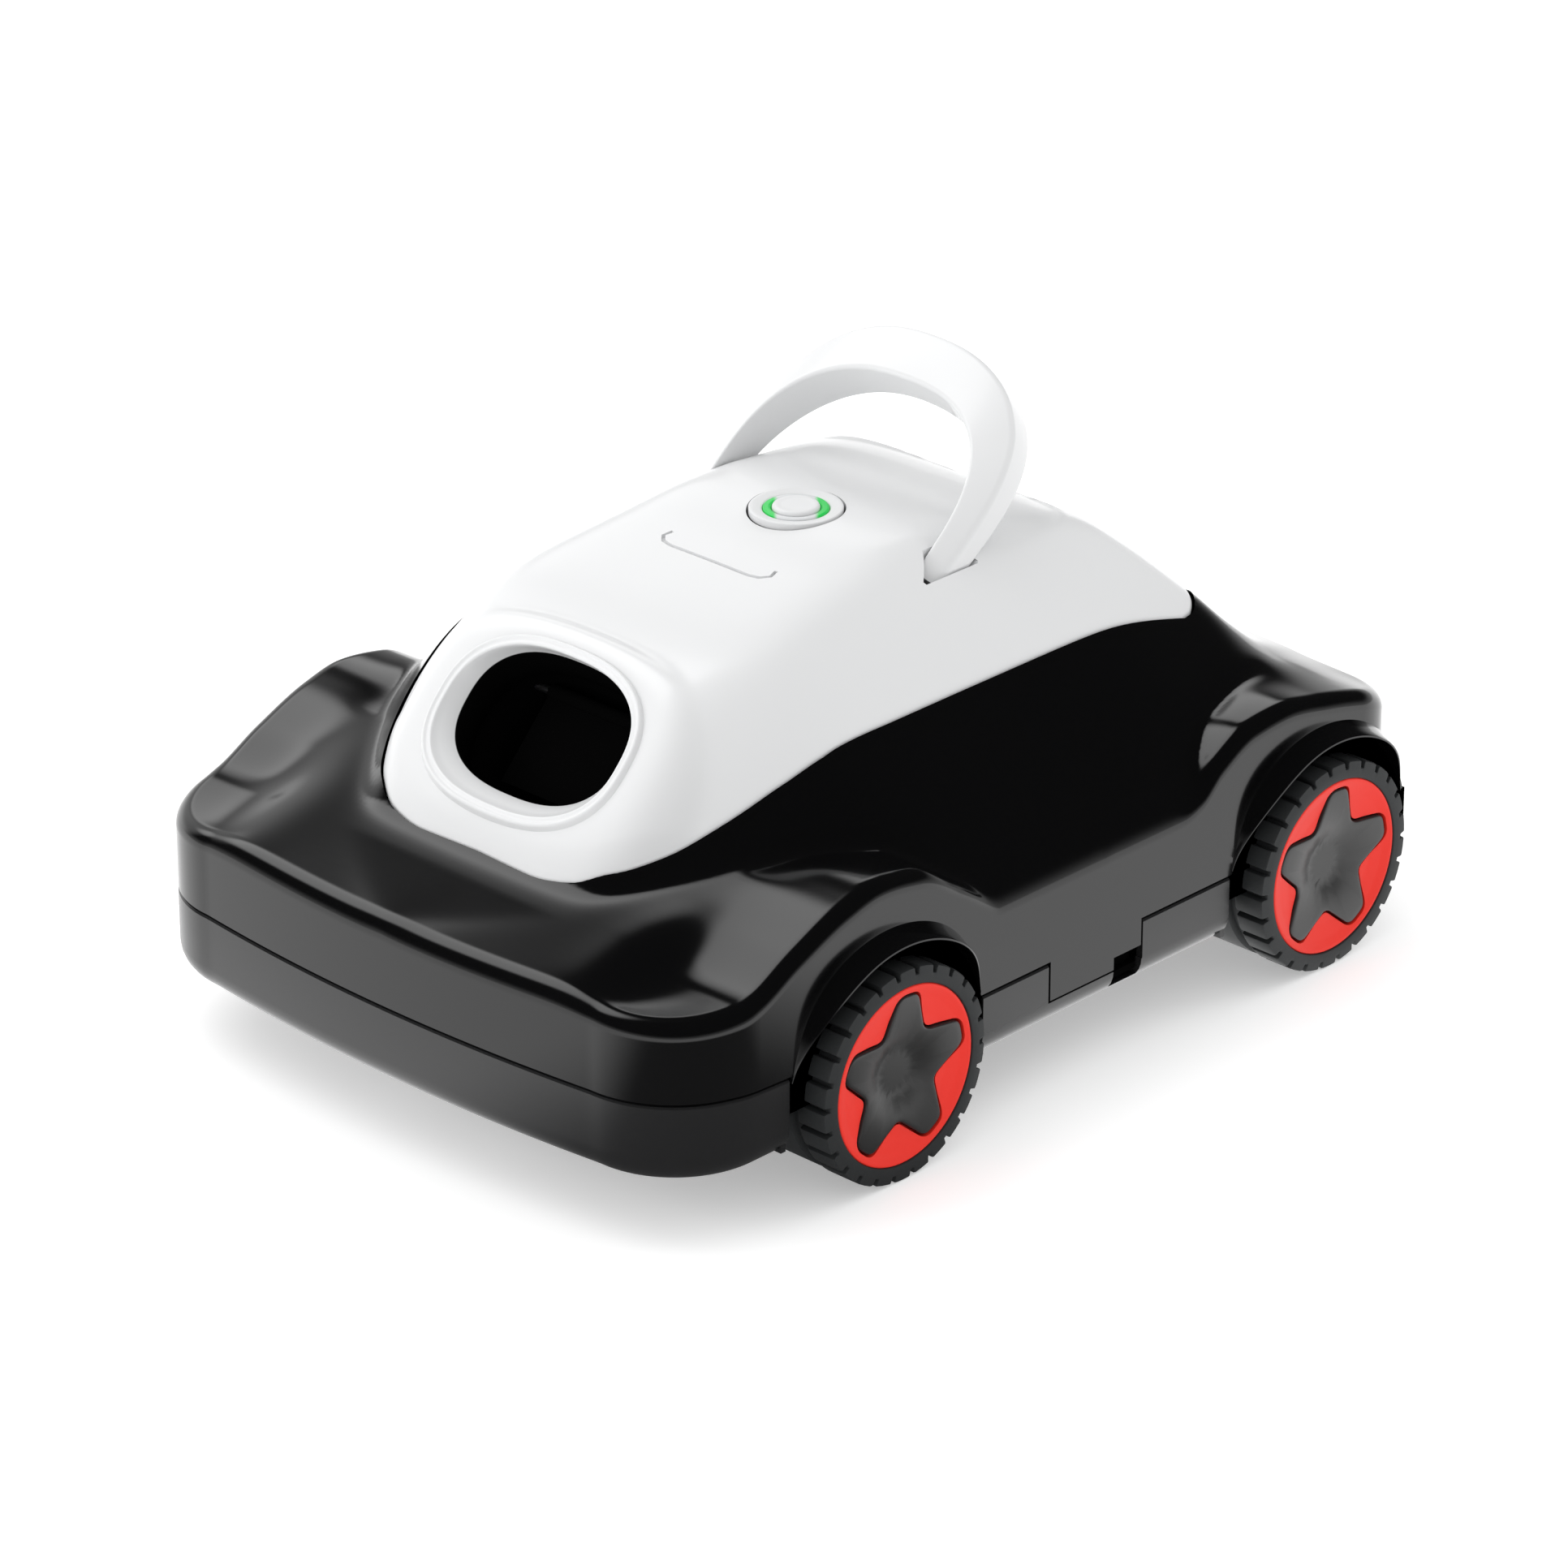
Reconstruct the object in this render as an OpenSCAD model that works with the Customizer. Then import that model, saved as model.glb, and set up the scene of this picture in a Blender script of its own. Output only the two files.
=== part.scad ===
// Cordless pool cleaner: two-part black body, white top cover with a water outlet in its nose,
// fixed carry handle, four wheels, sealed motor box, pump, drive gear, filter basket and base tray.
// +Z is up and the outlet faces -Y. The origin is on the floor, under the middle of the body.

/* [Body] */
// Length of the body, front bow to rear bow
body_l = 410; // [380:1:500]
// Width of the body between its side walls
body_w = 284; // [270:1:350]
// Wall thickness of the upper shell and the base tray
wall = 3; // [2.4:0.1:3.6]
// Height of the top cover's crown above the floor
crown_z = 187; // [180:1:230]
// Height of the shoulder line between the wheels
waist_z = 87; // [84:1:96]
// Height of the parting line at the bow
part_front_z = 58.5; // [57:0.5:61]
// Height of the parting line along the sides
part_side_z = 53; // [51:0.5:56]
// Height of the underside above the floor
belly_z = 26; // [20:0.5:28]
// Corner radius of the bow, seen from above
bow_corner_r = 42; // [34:1:50]
// Corner radius of the stern, seen from above
stern_corner_r = 30; // [22:1:36]
// Radius of the shoulder's rounded edge
shoulder_r = 5; // [3:0.5:7]

/* [Cover] */
// Wall thickness of the white top cover
cover_wall = 3; // [2.4:0.1:3.6]
// Half-width of the cover where it meets the black shell
cover_half_w = 92; // [84:1:100]
// Gap all round between the cover and the black shell
cover_gap = 0.8; // [0.4:0.1:1.2]
// Width of the ledge that carries the cover
ledge_w = 7; // [5:0.5:10]

/* [Wheels] */
// Distance between front and rear wheel centres
wheelbase = 237; // [215:1:245]
// Radius of the tyre over its lugs
tyre_r = 42; // [40:0.5:44]
// Radius of the red rim
rim_r = 35; // [30:0.5:36]
// Width of the tyre
tyre_w = 46; // [38:1:48]
// Overall width over the tyres
track_w = 302; // [300:1:320]
// Number of lugs round a tyre
lug_count = 26; // [20:1:32]
// Depth of the tread lugs
lug_depth = 3; // [2:0.5:4]
// Diameter of the axles
axle_d = 8; // [6:0.5:10]
// Radial clearance of the running fits
run_gap = 0.06; // [0.03:0.01:0.09]
// Radius of the wheel arches in the side walls
arch_r = 50.5; // [49.5:0.5:52]
// How far the arch's eyebrow stands out from the side wall at its top
eyebrow_out = 9; // [6:0.5:9.5]

/* [Handle] */
// Half-width of the handle's finger opening
grip_half_w = 55.5; // [50:0.5:58]
// Height of the finger opening along the handle
grip_h = 57; // [50:0.5:66]
// Thickness of the legs, seen from the front
leg_t = 7.7; // [6.5:0.1:10]
// Thickness of the grip at its crown
grip_t = 20.8; // [16:0.2:24]
// Depth of the handle from its front to its back face
grip_depth = 17; // [13:0.5:19]
// Lean of the handle back from upright
lean = 49.9; // [42:0.1:54]

/* [Outlet and pump] */
// Half-width of the outlet's opening
outlet_half_w = 44; // [36:1:46]
// Height of the outlet's opening along the nose
outlet_h = 64; // [54:1:66]
// Width of the raised bead round the outlet
bead_w = 4; // [3:0.5:5]
// Inner radius of the pump chamber
pump_r = 32; // [26:0.5:34]
// Tip clearance of the impeller
tip_gap = 1; // [0.6:0.1:2]
// Diameter of the pump shaft
shaft_d = 5; // [4:0.5:6]
// Number of impeller blades
blade_count = 5; // [3:1:7]

/* [Button] */
// Radius of the round control panel set into the cover
panel_r = 18; // [16:0.5:20]
// Radius of the power button
button_r = 9; // [7.5:0.5:10]
// Outer radius of the light ring
light_r = 12.4; // [11.5:0.1:14]
// Travel of the power button
button_travel = 1.6; // [1:0.1:2]

/* [Drive] */
// Teeth of the gear on the rear axle
gear_teeth = 22; // [20:1:24]
// Teeth of the motor pinion
pinion_teeth = 18; // [17:1:20]
// Gear module
gear_m = 1; // [0.9:0.05:1.1]
// Face width of the gear
gear_w = 10; // [8:1:14]

/* [Hidden] */
$fn = 40;
black = [0.05, 0.05, 0.05];
grey = [0.18, 0.18, 0.19];
white = [0.93, 0.93, 0.93];
red = [0.85, 0.15, 0.1];
steel = [0.7, 0.7, 0.72];
brass = [0.75, 0.6, 0.3];

// The body's profiles are drawn at this size and stretched to the sizes above
drawn_l = 410;
drawn_half_w = 142;
drawn_crown = 187;
drawn_waist = 87;
half_l = body_l / 2;
half_w = body_w / 2;
run = body_l / drawn_l;
rise = (crown_z - waist_z) / (drawn_crown - drawn_waist);
bow = 6;
stern = 4;

// Wheel places. The middle of the wheelbase lies behind the middle of the body
wheelbase_shift = 26.8;
front_y = wheelbase_shift - wheelbase / 2;
rear_y = wheelbase_shift + wheelbase / 2;
wheel_x = track_w / 2 - tyre_w / 2;
wheel_gap = 4;
well_x = track_w / 2 - tyre_w - wheel_gap;

// ---- Curves and blends ----
function slope(p, i) = (p[i + 1][1] - p[i][1]) / (p[i + 1][0] - p[i][0]);
function tangent(p, i) =
    i <= 0 ? slope(p, 0) :
    i >= len(p) - 1 ? slope(p, len(p) - 2) :
    slope(p, i - 1) * slope(p, i) <= 0 ? 0 :
    2 * slope(p, i - 1) * slope(p, i) / (slope(p, i - 1) + slope(p, i));
function span(p, t, i = 0) = i >= len(p) - 2 || t < p[i + 1][0] ? i : span(p, t, i + 1);
function hermite(a, b, ma, mb, w, u) =
    a * (1 + 2 * u) * (1 - u) * (1 - u) + w * ma * u * (1 - u) * (1 - u)
    + b * u * u * (3 - 2 * u) + w * mb * u * u * (u - 1);
// Smooth curve through the points [t, value], held flat past its ends
function curve_at(p, t, i) = hermite(p[i][1], p[i + 1][1], tangent(p, i), tangent(p, i + 1),
    p[i + 1][0] - p[i][0], (t - p[i][0]) / (p[i + 1][0] - p[i][0]));
function held(p, t) = max(p[0][0], min(p[len(p) - 1][0], t));
function curve(p, t) = curve_at(p, held(p, t), span(p, held(p, t)));
function smooth_min(a, b, k) = (a + b - sqrt((a - b) * (a - b) + k * k)) / 2;
function smooth_max(a, b, k) = (a + b + sqrt((a - b) * (a - b) + k * k)) / 2;
function step_at(t, middle, width) = 1 / (1 + exp(-(t - middle) / width));

// ---- The body's upper surface ----
// Height along the middle of the top cover, from the nose to the tail
ridge = [[-170, 90], [-157, 104], [-140, 128], [-127, 143], [-108, 163], [-90, 170], [-71, 174.5],
    [-25, 182], [9, 187], [35, 187], [65, 183], [90, 177], [105, 171], [118, 161], [138, 141],
    [152, 125], [170, 110], [205, 90]];
// Height of the shoulder line, measured along from each wheel centre
front_shoulder = [[-113.3, 91], [-95, 89.5], [-73, 91], [-65, 93], [-45, 103], [-20, 113],
    [-3.6, 116.3], [17.5, 113.5], [39, 101], [58.6, 87]];
rear_shoulder = [[-110, 87.5], [-79, 88], [-67, 92], [-56, 101.4], [-38, 110], [-20, 111.5],
    [4, 107.5], [28, 101.5], [46, 95], [60, 91]];
stern_deck = [[60, 70], [120, 100], [150, 111], [170, 105], [205, 90]];
bow_slope = 0.25;
flank_slope = 1.15;
crown_half_w = 55;

function flank(x, y) = drawn_crown - flank_slope * (x - crown_half_w)
    - 0.5 * max(0, -y - 71) - 0.005 * pow(max(0, -y - 71), 2)
    - 0.27 * max(0, y - 86) - 0.5 * max(0, y - 150);
function cabin(x, y) = smooth_min(curve(ridge, y), flank(x, y), 9);
function shoulder(y) = y * run < wheelbase_shift ?
    curve(front_shoulder, y * run - front_y) : curve(rear_shoulder, y * run - rear_y);
function bow_deck(x, y) = let(inner = min(91 + bow_slope * (y + 205), 113))
    inner + (shoulder(y) - inner) * step_at(x, 98 + 0.09 * (y + 150), 5);
function rear_deck(x, y) = let(inner = curve(stern_deck, y))
    inner + (shoulder(y) - inner) * step_at(x, 108, 7);
function deck(x, y) = bow_deck(x, y) + (rear_deck(x, y) - bow_deck(x, y)) * step_at(y, 20, 12);
function drawn_top(x, y) = smooth_max(cabin(x, y), deck(x, y), 6);
// Height of the body's surface over the point (x, y)
function top_z(x, y) = waist_z
    + rise * (drawn_top(abs(x) * drawn_half_w / half_w, y / run) - drawn_waist);

// ---- The body's outline, seen from above ----
function bow_y(x, w, l, r) = abs(x) <= w - r ? -l + bow * pow(x / (w - r), 2) :
    -l + bow + r - sqrt(max(0, r * r - pow(abs(x) - w + r, 2)));
function stern_y(x, w, l, r) = abs(x) <= w - r ? l - stern * pow(x / (w - r), 2) :
    l - stern - r + sqrt(max(0, r * r - pow(abs(x) - w + r, 2)));
function front_edge(x, inset) = bow_y(x, half_w - inset, half_l - inset, bow_corner_r - inset / 2);
function rear_edge(x, inset) =
    stern_y(x, half_w - inset, half_l - inset, stern_corner_r - inset / 2);

// Closed block between the body's upper surface and a lower level
columns = 26;
rows = 34;
function column_x(i, inset) = (half_w - inset) * sin(90 * (2 * i / columns - 1));
function row_y(x, j, inset) =
    let(a = front_edge(x, inset), b = rear_edge(x, inset), e = shoulder_r / (b - a))
    j == 0 ? a : j == rows ? b : a + (b - a) * (e + (1 - 2 * e) * (j - 1) / (rows - 2));
function edge_drop(i, j) = i == 0 || i == columns || j == 0 || j == rows ? shoulder_r : 0;
module body_block(inset, drop, floor_z) {
    top = [for (i = [0 : columns], j = [0 : rows])
        let(x = column_x(i, inset), y = row_y(x, j, inset))
        [x, y, top_z(x, y) - drop - edge_drop(i, j)]];
    bottom = [for (p = top) [p[0], p[1], floor_z]];
    n = len(top);
    r = rows + 1;
    c = columns;
    polyhedron(concat(top, bottom), concat(
        [for (i = [0 : c - 1], j = [0 : rows - 1])
            [i * r + j, i * r + j + 1, (i + 1) * r + j + 1, (i + 1) * r + j]],
        [for (i = [0 : c - 1], j = [0 : rows - 1])
            [n + i * r + j, n + (i + 1) * r + j, n + (i + 1) * r + j + 1, n + i * r + j + 1]],
        [for (i = [0 : c - 1]) [i * r, (i + 1) * r, n + (i + 1) * r, n + i * r]],
        [for (i = [0 : c - 1]) [i * r + rows, n + i * r + rows, n + (i + 1) * r + rows,
            (i + 1) * r + rows]],
        [for (j = [0 : rows - 1]) [j, n + j, n + j + 1, j + 1]],
        [for (j = [0 : rows - 1]) [c * r + j, c * r + j + 1, n + c * r + j + 1, n + c * r + j]]));
}
module outline(inset) {
    xs = [for (i = [0 : columns]) column_x(i, inset)];
    polygon(concat([for (x = xs) [x, front_edge(x, inset)]],
        [for (i = [columns : -1 : 0]) [xs[i], rear_edge(xs[i], inset)]]));
}

// Sheet that follows the body's upper surface over a rectangle, from depth d0 down to depth d1
module surface_sheet(x1, y0, y1, d0, d1, nx = 22, ny = 32) {
    points = [for (i = [0 : nx], j = [0 : ny])
        let(x = x1 * (2 * i / nx - 1), y = y0 + (y1 - y0) * j / ny) [x, y, top_z(x, y)]];
    n = len(points);
    r = ny + 1;
    polyhedron(concat([for (p = points) p - [0, 0, d0]], [for (p = points) p - [0, 0, d1]]),
        concat(
        [for (i = [0 : nx - 1], j = [0 : ny - 1])
            [i * r + j, i * r + j + 1, (i + 1) * r + j + 1, (i + 1) * r + j]],
        [for (i = [0 : nx - 1], j = [0 : ny - 1])
            [n + i * r + j, n + (i + 1) * r + j, n + (i + 1) * r + j + 1, n + i * r + j + 1]],
        [for (i = [0 : nx - 1]) [i * r, (i + 1) * r, n + (i + 1) * r, n + i * r]],
        [for (i = [0 : nx - 1]) [i * r + ny, n + i * r + ny, n + (i + 1) * r + ny,
            (i + 1) * r + ny]],
        [for (j = [0 : ny - 1]) [j, n + j, n + j + 1, j + 1]],
        [for (j = [0 : ny - 1]) [nx * r + j, nx * r + j + 1, n + nx * r + j + 1,
            n + nx * r + j]]));
}

// ---- Shared shapes ----
module along_x(x0, x1, r, y, z) {
    translate([x0, y, z]) rotate([0, 90, 0]) cylinder(h = x1 - x0, r = r);
}
module along_y(y0, y1, r, x, z) {
    translate([x, y0, z]) rotate([-90, 0, 0]) cylinder(h = y1 - y0, r = r);
}
module upright(z0, z1, r, x, y) {
    translate([x, y, z0]) cylinder(h = z1 - z0, r = r);
}
module span_box(x, y, z) {
    translate([x[0], y[0], z[0]]) cube([x[1] - x[0], y[1] - y[0], z[1] - z[0]]);
}
module both_sides() {
    children();
    mirror([1, 0, 0]) children();
}
module pan_screw(z0, z1, x, y, head_r = 3, shank_r = 1.4) {
    upright(z0, z0 + 2, head_r, x, y);
    upright(z0, z1, shank_r, x, y);
}
function superellipse(a, b, power, n = 60) = [for (i = [0 : n - 1]) let(t = 360 * i / n)
    [a * sign(cos(t)) * pow(abs(cos(t)), 2 / power),
     b * sign(sin(t)) * pow(abs(sin(t)), 2 / power)]];

// ---- Parting line between the upper shell and the base tray ----
part_line = [[-half_l - 5, part_front_z], [-half_l + 35, part_front_z],
    [-half_l + 155, part_side_z], [half_l + 5, part_side_z]];
tab_y = [-4.9, 45];
tab_z = 37;
tab_depth = 14;
notch_y = [30, 45.6];
notch_z = 42;
module below_part_line(gap) {
    rotate([90, 0, 90]) translate([0, 0, -half_w - 10]) linear_extrude(body_w + 20)
        polygon(concat([[-half_l - 5, 0]], [for (p = part_line) p - [0, gap]],
            [[half_l + 5, 0]]));
}
module side_tabs(grow) {
    both_sides() span_box([half_w - tab_depth - grow, half_w + 5],
        [tab_y[0] - grow, tab_y[1] + grow], [tab_z - grow, part_side_z + 1]);
}
module finger_notches() {
    both_sides() span_box([half_w - 10, half_w + 5], notch_y, [belly_z + wall, notch_z]);
}

// ---- Wheel arches ----
module each_wheel() {
    for (y = [front_y, rear_y]) both_sides() translate([0, y, 0]) children();
}
module arch_space(grow, x0) {
    along_x(x0, half_w + 20, arch_r + grow, 0, tyre_r);
    span_box([x0, half_w + 20], [-arch_r - grow, arch_r + grow], [-10, tyre_r]);
}
// The eyebrow grows out of the wall from the arch's feet to its top
module eyebrow() {
    lip_x = half_w + eyebrow_out;
    intersection() {
        translate([0, 0, tyre_r]) rotate([0, 90, 0]) rotate([0, 0, 105])
            rotate_extrude(angle = 150) polygon([[arch_r, half_w - 4], [arch_r, lip_x - 0.6],
                [arch_r + 0.8, lip_x], [arch_r + 1.8, lip_x - 0.5], [arch_r + 5, half_w],
                [arch_r + 5, half_w - 4]]);
        translate([0, arch_r + 10, 0]) rotate([90, 0, 0]) linear_extrude(2 * arch_r + 20)
            polygon([[half_w - 4, tyre_r], [half_w, tyre_r + 11], [half_w + 0.6 * eyebrow_out,
                tyre_r + 0.6 * arch_r], [lip_x, tyre_r + 0.9 * arch_r], [lip_x, 300],
                [half_w - 4, 300]]);
    }
}

// ---- Black upper shell ----
chassis_z = [64, 67];
post_r = 4.5;
post_places = [[96, -20], [96, 60], [60, -176], [60, 176]];
module cover_outline(grow) {
    right = [[0, -158], [28, -158.5], [46, -155.5], [60, -147.5], [72, -133], [81, -115],
        [87.5, -95], [91.5, -72], [92, -40], [92, 124], [90, 131], [84, 138], [72, 144],
        [50, 149], [0, 152]];
    scaled = [for (p = right) [p[0] * cover_half_w / 92, p[1] * run]];
    offset(delta = grow) polygon(concat(scaled,
        [for (i = [len(scaled) - 2 : -1 : 1]) [-scaled[i][0], scaled[i][1]]]));
}
module screw_post(p) {
    roof_z = top_z(abs(p[0]) + post_r, p[1]) - 1.5;
    hull() {
        upright(chassis_z[1], chassis_z[1] + 1, post_r, p[0], p[1], $fn = 20);
        upright(roof_z - 3, roof_z, post_r - 1, p[0], p[1], $fn = 20);
    }
}
module upper_shell() color(black) difference() {
    union() {
        difference() {
            body_block(0, 0, 10);
            difference() {
                body_block(wall, wall * 1.3, 5);
                each_wheel() arch_space(wall, well_x - wall);
            }
            linear_extrude(300) cover_outline(0);
        }
        // Ledge that the cover sits on
        intersection() {
            surface_sheet(cover_half_w + 10, -170 * run, 164 * run, 5.2, 8);
            linear_extrude(300) difference() {
                cover_outline(wall);
                cover_outline(-ledge_w);
            }
        }
        for (p = post_places) {
            screw_post(p);
            screw_post([-p[0], p[1]]);
        }
        intersection() {
            each_wheel() eyebrow();
            span_box([-half_w - 20, half_w + 20], [-half_l, half_l], [tyre_r, 200]);
        }
    }
    each_wheel() arch_space(0, well_x);
    difference() {
        below_part_line(0);
        side_tabs(0);
    }
    span_box([-half_w - 10, half_w + 10], [-half_l - 10, half_l + 10], [0, tab_z]);
    finger_notches();
    for (p = post_places) both_sides()
        upright(0, chassis_z[1] + 14, 1.5, p[0], p[1], $fn = 16);
    along_y(half_l - 12, half_l + 5, plug_r + 0.3, port_x, port_z);
}

// ---- White top cover ----
nose_y = -130 * run;
nose_z = waist_z + rise * (140.8 - drawn_waist);
nose_tilt = 46.5;
panel_y = 9 * run;
panel_z = crown_z + 0.2;
groove_y = -36 * run;
groove_half_l = 24;
clip_places = [[60, -128], [81.5, -60], [81.5, 30], [72, 128]];
module at_nose() {
    translate([0, nose_y, nose_z]) rotate([nose_tilt, 0, 0]) children();
}
module outlet_shape(grow) {
    polygon(superellipse(outlet_half_w + grow, outlet_h / 2 + grow, 2.5));
}
module snap_clip(p) {
    z = top_z(p[0], p[1] * run) - cover_wall;
    hull() {
        translate([p[0] * cover_half_w / 92, p[1] * run, z - 2]) cube([5, 8, 3], center = true);
        translate([p[0] * cover_half_w / 92, p[1] * run, z - 9]) cube([3, 6, 2], center = true);
    }
}
module top_cover() color(white) difference() {
    union() {
        intersection() {
            surface_sheet(cover_half_w + 10, -170 * run, 164 * run, 0, cover_wall * 1.3);
            linear_extrude(300) cover_outline(-cover_gap);
        }
        for (p = clip_places) {
            snap_clip(p);
            snap_clip([-p[0], p[1]]);
        }
    }
    at_nose() translate([0, 0, -30]) linear_extrude(60) outlet_shape(bead_w + 0.3);
    upright(crown_z - 15, crown_z + 5, panel_r + 0.5, 0, panel_y);
    at_handle() translate([0, 0, -grip_depth - 1]) linear_extrude(grip_depth + 2)
        handle_outline(1);
    span_box([-groove_half_l, groove_half_l], [groove_y - 1.2, groove_y + 1.2],
        [top_z(0, groove_y) - 0.8, crown_z + 5]);
}

// White mouth ring of the outlet, with its raised bead and short throat
mouth_depth = 22;
module outlet_mouth() color(white) at_nose() difference() {
    union() {
        translate([0, 0, -mouth_depth]) linear_extrude(mouth_depth) outlet_shape(2.2);
        translate([0, 0, -5]) linear_extrude(6.2) outlet_shape(bead_w - 0.4);
        translate([0, 0, -5]) linear_extrude(7.2) outlet_shape(bead_w - 1.4);
    }
    translate([0, 0, -mouth_depth - 1]) linear_extrude(mouth_depth + 9) outlet_shape(0);
}

// ---- Carry handle ----
foot_drop = 14;
module at_handle() {
    translate([0, 23.1 * run, crown_z - 2.3]) rotate([90 - lean, 0, 0]) children();
}
module arch(a, b, foot) {
    curve_points = [for (t = [0 : 6 : 180])
        [a * sign(cos(t)) * pow(abs(cos(t)), 0.8), b * pow(sin(t), 0.8)]];
    polygon(concat([[a - 1, -foot]], curve_points, [[-a + 1, -foot]]));
}
module handle_outline(grow) {
    difference() {
        arch(grip_half_w + leg_t + grow, grip_h + grip_t + grow, foot_drop);
        arch(grip_half_w - grow, grip_h - grow, foot_drop + 1);
    }
}
module carry_handle() color(white) at_handle() difference() {
    union() {
        translate([0, 0, -grip_depth]) linear_extrude(grip_depth) handle_outline(-1.8);
        translate([0, 0, 2 - grip_depth]) linear_extrude(grip_depth - 4) handle_outline(-0.5);
        translate([0, 0, 4 - grip_depth]) linear_extrude(grip_depth - 8) handle_outline(0);
    }
    both_sides() along_y(-foot_drop - 1, -foot_drop + 9, 1.5,
        grip_half_w + leg_t / 2 - 0.5, -grip_depth / 2);
}
module handle_screws() color(steel) at_handle() both_sides() {
    x = grip_half_w + leg_t / 2 - 0.5;
    along_y(-foot_drop - 2, -foot_drop + 8, 1.4, x, -grip_depth / 2);
    along_y(-foot_drop - 4, -foot_drop - 2, 3, x, -grip_depth / 2);
}

// ---- Control panel, power button and its spring ----
stem_r = 3;
panel_floor_z = panel_z - 9;
module control_panel() color(white) difference() {
    union() {
        upright(panel_z - 3, panel_z, panel_r - 0.3, 0, panel_y);
        upright(panel_floor_z, panel_z, light_r + 2, 0, panel_y);
    }
    upright(panel_floor_z + 2, panel_z + 1, light_r + 0.2, 0, panel_y);
    upright(panel_floor_z - 1, panel_z + 1, stem_r + run_gap, 0, panel_y);
}
module light_ring() color([0.1, 0.7, 0.25]) difference() {
    upright(panel_floor_z + 2, panel_z - 0.2, light_r, 0, panel_y);
    upright(panel_floor_z + 1, panel_z + 1, button_r + 0.4, 0, panel_y);
}
module power_button() color(white) {
    upright(panel_z - 3.5, panel_z + 0.4, button_r, 0, panel_y);
    upright(panel_z + 0.4, panel_z + 1, button_r - 0.8, 0, panel_y);
    upright(panel_floor_z - 4, panel_z - 3.5, stem_r, 0, panel_y);
}
module button_spring() color(steel) for (z = [panel_floor_z + 2.6, panel_floor_z + 3.8])
    translate([0, panel_y, z]) rotate_extrude() translate([5.5, 0]) circle(r = 0.5);

// ---- Sealed dry box with its lid, seal, cells and board ----
box_x = 56;
box_y = [-66 * run, 84 * run];
box_z = [114, 160 + (crown_z - drawn_crown)];
box_wall = 2.5;
lid_t = 3;
seal_h = 1.2;
pump_y = -42 * run;
seal_r = 7;
lid_screw_places = [[50, box_y[0] + 6], [50, (box_y[0] + box_y[1]) / 2], [50, box_y[1] - 6]];
module dry_box() color(grey) difference() {
    union() {
        difference() {
            span_box([-box_x, box_x], box_y, box_z);
            span_box([-box_x + box_wall, box_x - box_wall],
                [box_y[0] + box_wall, box_y[1] - box_wall], [box_z[0] + box_wall, box_z[1] + 1]);
        }
        for (p = lid_screw_places) both_sides()
            upright(box_z[0] + 1, box_z[1], 4, p[0], p[1]);
    }
    upright(box_z[0] - 1, box_z[0] + box_wall + 1, seal_r, 0, pump_y);
    for (p = lid_screw_places) both_sides()
        upright(box_z[1] - 12, box_z[1] + 1, 1.5, p[0], p[1]);
}
module box_seal() color([0.1, 0.1, 0.1]) difference() {
    span_box([-box_x, box_x], box_y, [box_z[1], box_z[1] + seal_h]);
    span_box([-box_x + box_wall, box_x - box_wall],
        [box_y[0] + box_wall, box_y[1] - box_wall], [box_z[1] - 1, box_z[1] + 3]);
    for (p = lid_screw_places) both_sides()
        upright(box_z[1] - 1, box_z[1] + 3, 4.5, p[0], p[1]);
}
module dry_box_lid() color(grey) difference() {
    span_box([-box_x, box_x], box_y, [box_z[1] + seal_h, box_z[1] + seal_h + lid_t]);
    for (p = lid_screw_places) both_sides()
        upright(box_z[1] - 1, box_z[1] + 9, 1.6, p[0], p[1]);
}
module lid_screws() color(steel) for (p = lid_screw_places) both_sides()
    mirror([0, 0, 1]) pan_screw(-box_z[1] - seal_h - lid_t - 2, -box_z[1] + 10, p[0], p[1]);

cell_r = 9.2;
cell_l = 65;
cell_pitch = 20;
cell_z = [box_z[0] + 13, box_z[0] + 13 + cell_pitch];
cell_y = [for (i = [0 : 2]) box_y[1] - 76 + i * cell_pitch];
module battery_cells() color([0.1, 0.35, 0.6]) for (y = cell_y, z = cell_z)
    along_x(-cell_l / 2, cell_l / 2, cell_r, y, z);
module battery_holder() color(grey) both_sides() difference() {
    span_box([cell_l / 2 - 6, cell_l / 2 + 2], [cell_y[0] - 11, cell_y[2] + 11],
        [box_z[0] + box_wall, cell_z[1] + 11]);
    for (y = cell_y, z = cell_z) along_x(cell_l / 2 - 7, cell_l / 2, cell_r + 0.1, y, z);
}
board_y = box_y[1] - 18;
module control_board() {
    color([0.05, 0.3, 0.12])
        span_box([-44, 44], [board_y, board_y + 1.6], [box_z[0] + 4, box_z[1] - 4]);
    color(black) for (x = [-30, -8, 18])
        span_box([x, x + 12], [board_y + 1.6, board_y + 4], [box_z[0] + 14, box_z[0] + 26]);
    color(steel) for (x = [-34, -20, 30])
        along_y(board_y + 1.6, board_y + 10, 3.5, x, box_z[0] + 36);
}

// ---- Pump: motor, shaft, seal, impeller and duct ----
motor_r = 19;
chamber_z = [chassis_z[1], box_z[0]];
impeller_z = [chamber_z[0] + 8, chamber_z[0] + 26];
module pump_motor() color(steel) difference() {
    union() {
        upright(box_z[0] + box_wall + 3, box_z[1] - 3, motor_r, 0, pump_y);
        upright(box_z[0] + box_wall, box_z[0] + box_wall + 3, motor_r - 6, 0, pump_y);
    }
    upright(box_z[0], box_z[0] + 24, shaft_d / 2 + run_gap, 0, pump_y);
}
module shaft_seal() color(black) difference() {
    upright(box_z[0] - wall - 3, box_z[0] + box_wall, seal_r - 0.05, 0, pump_y);
    upright(box_z[0] - wall - 4, box_z[0] + box_wall + 1, shaft_d / 2 + run_gap, 0, pump_y);
}
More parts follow.
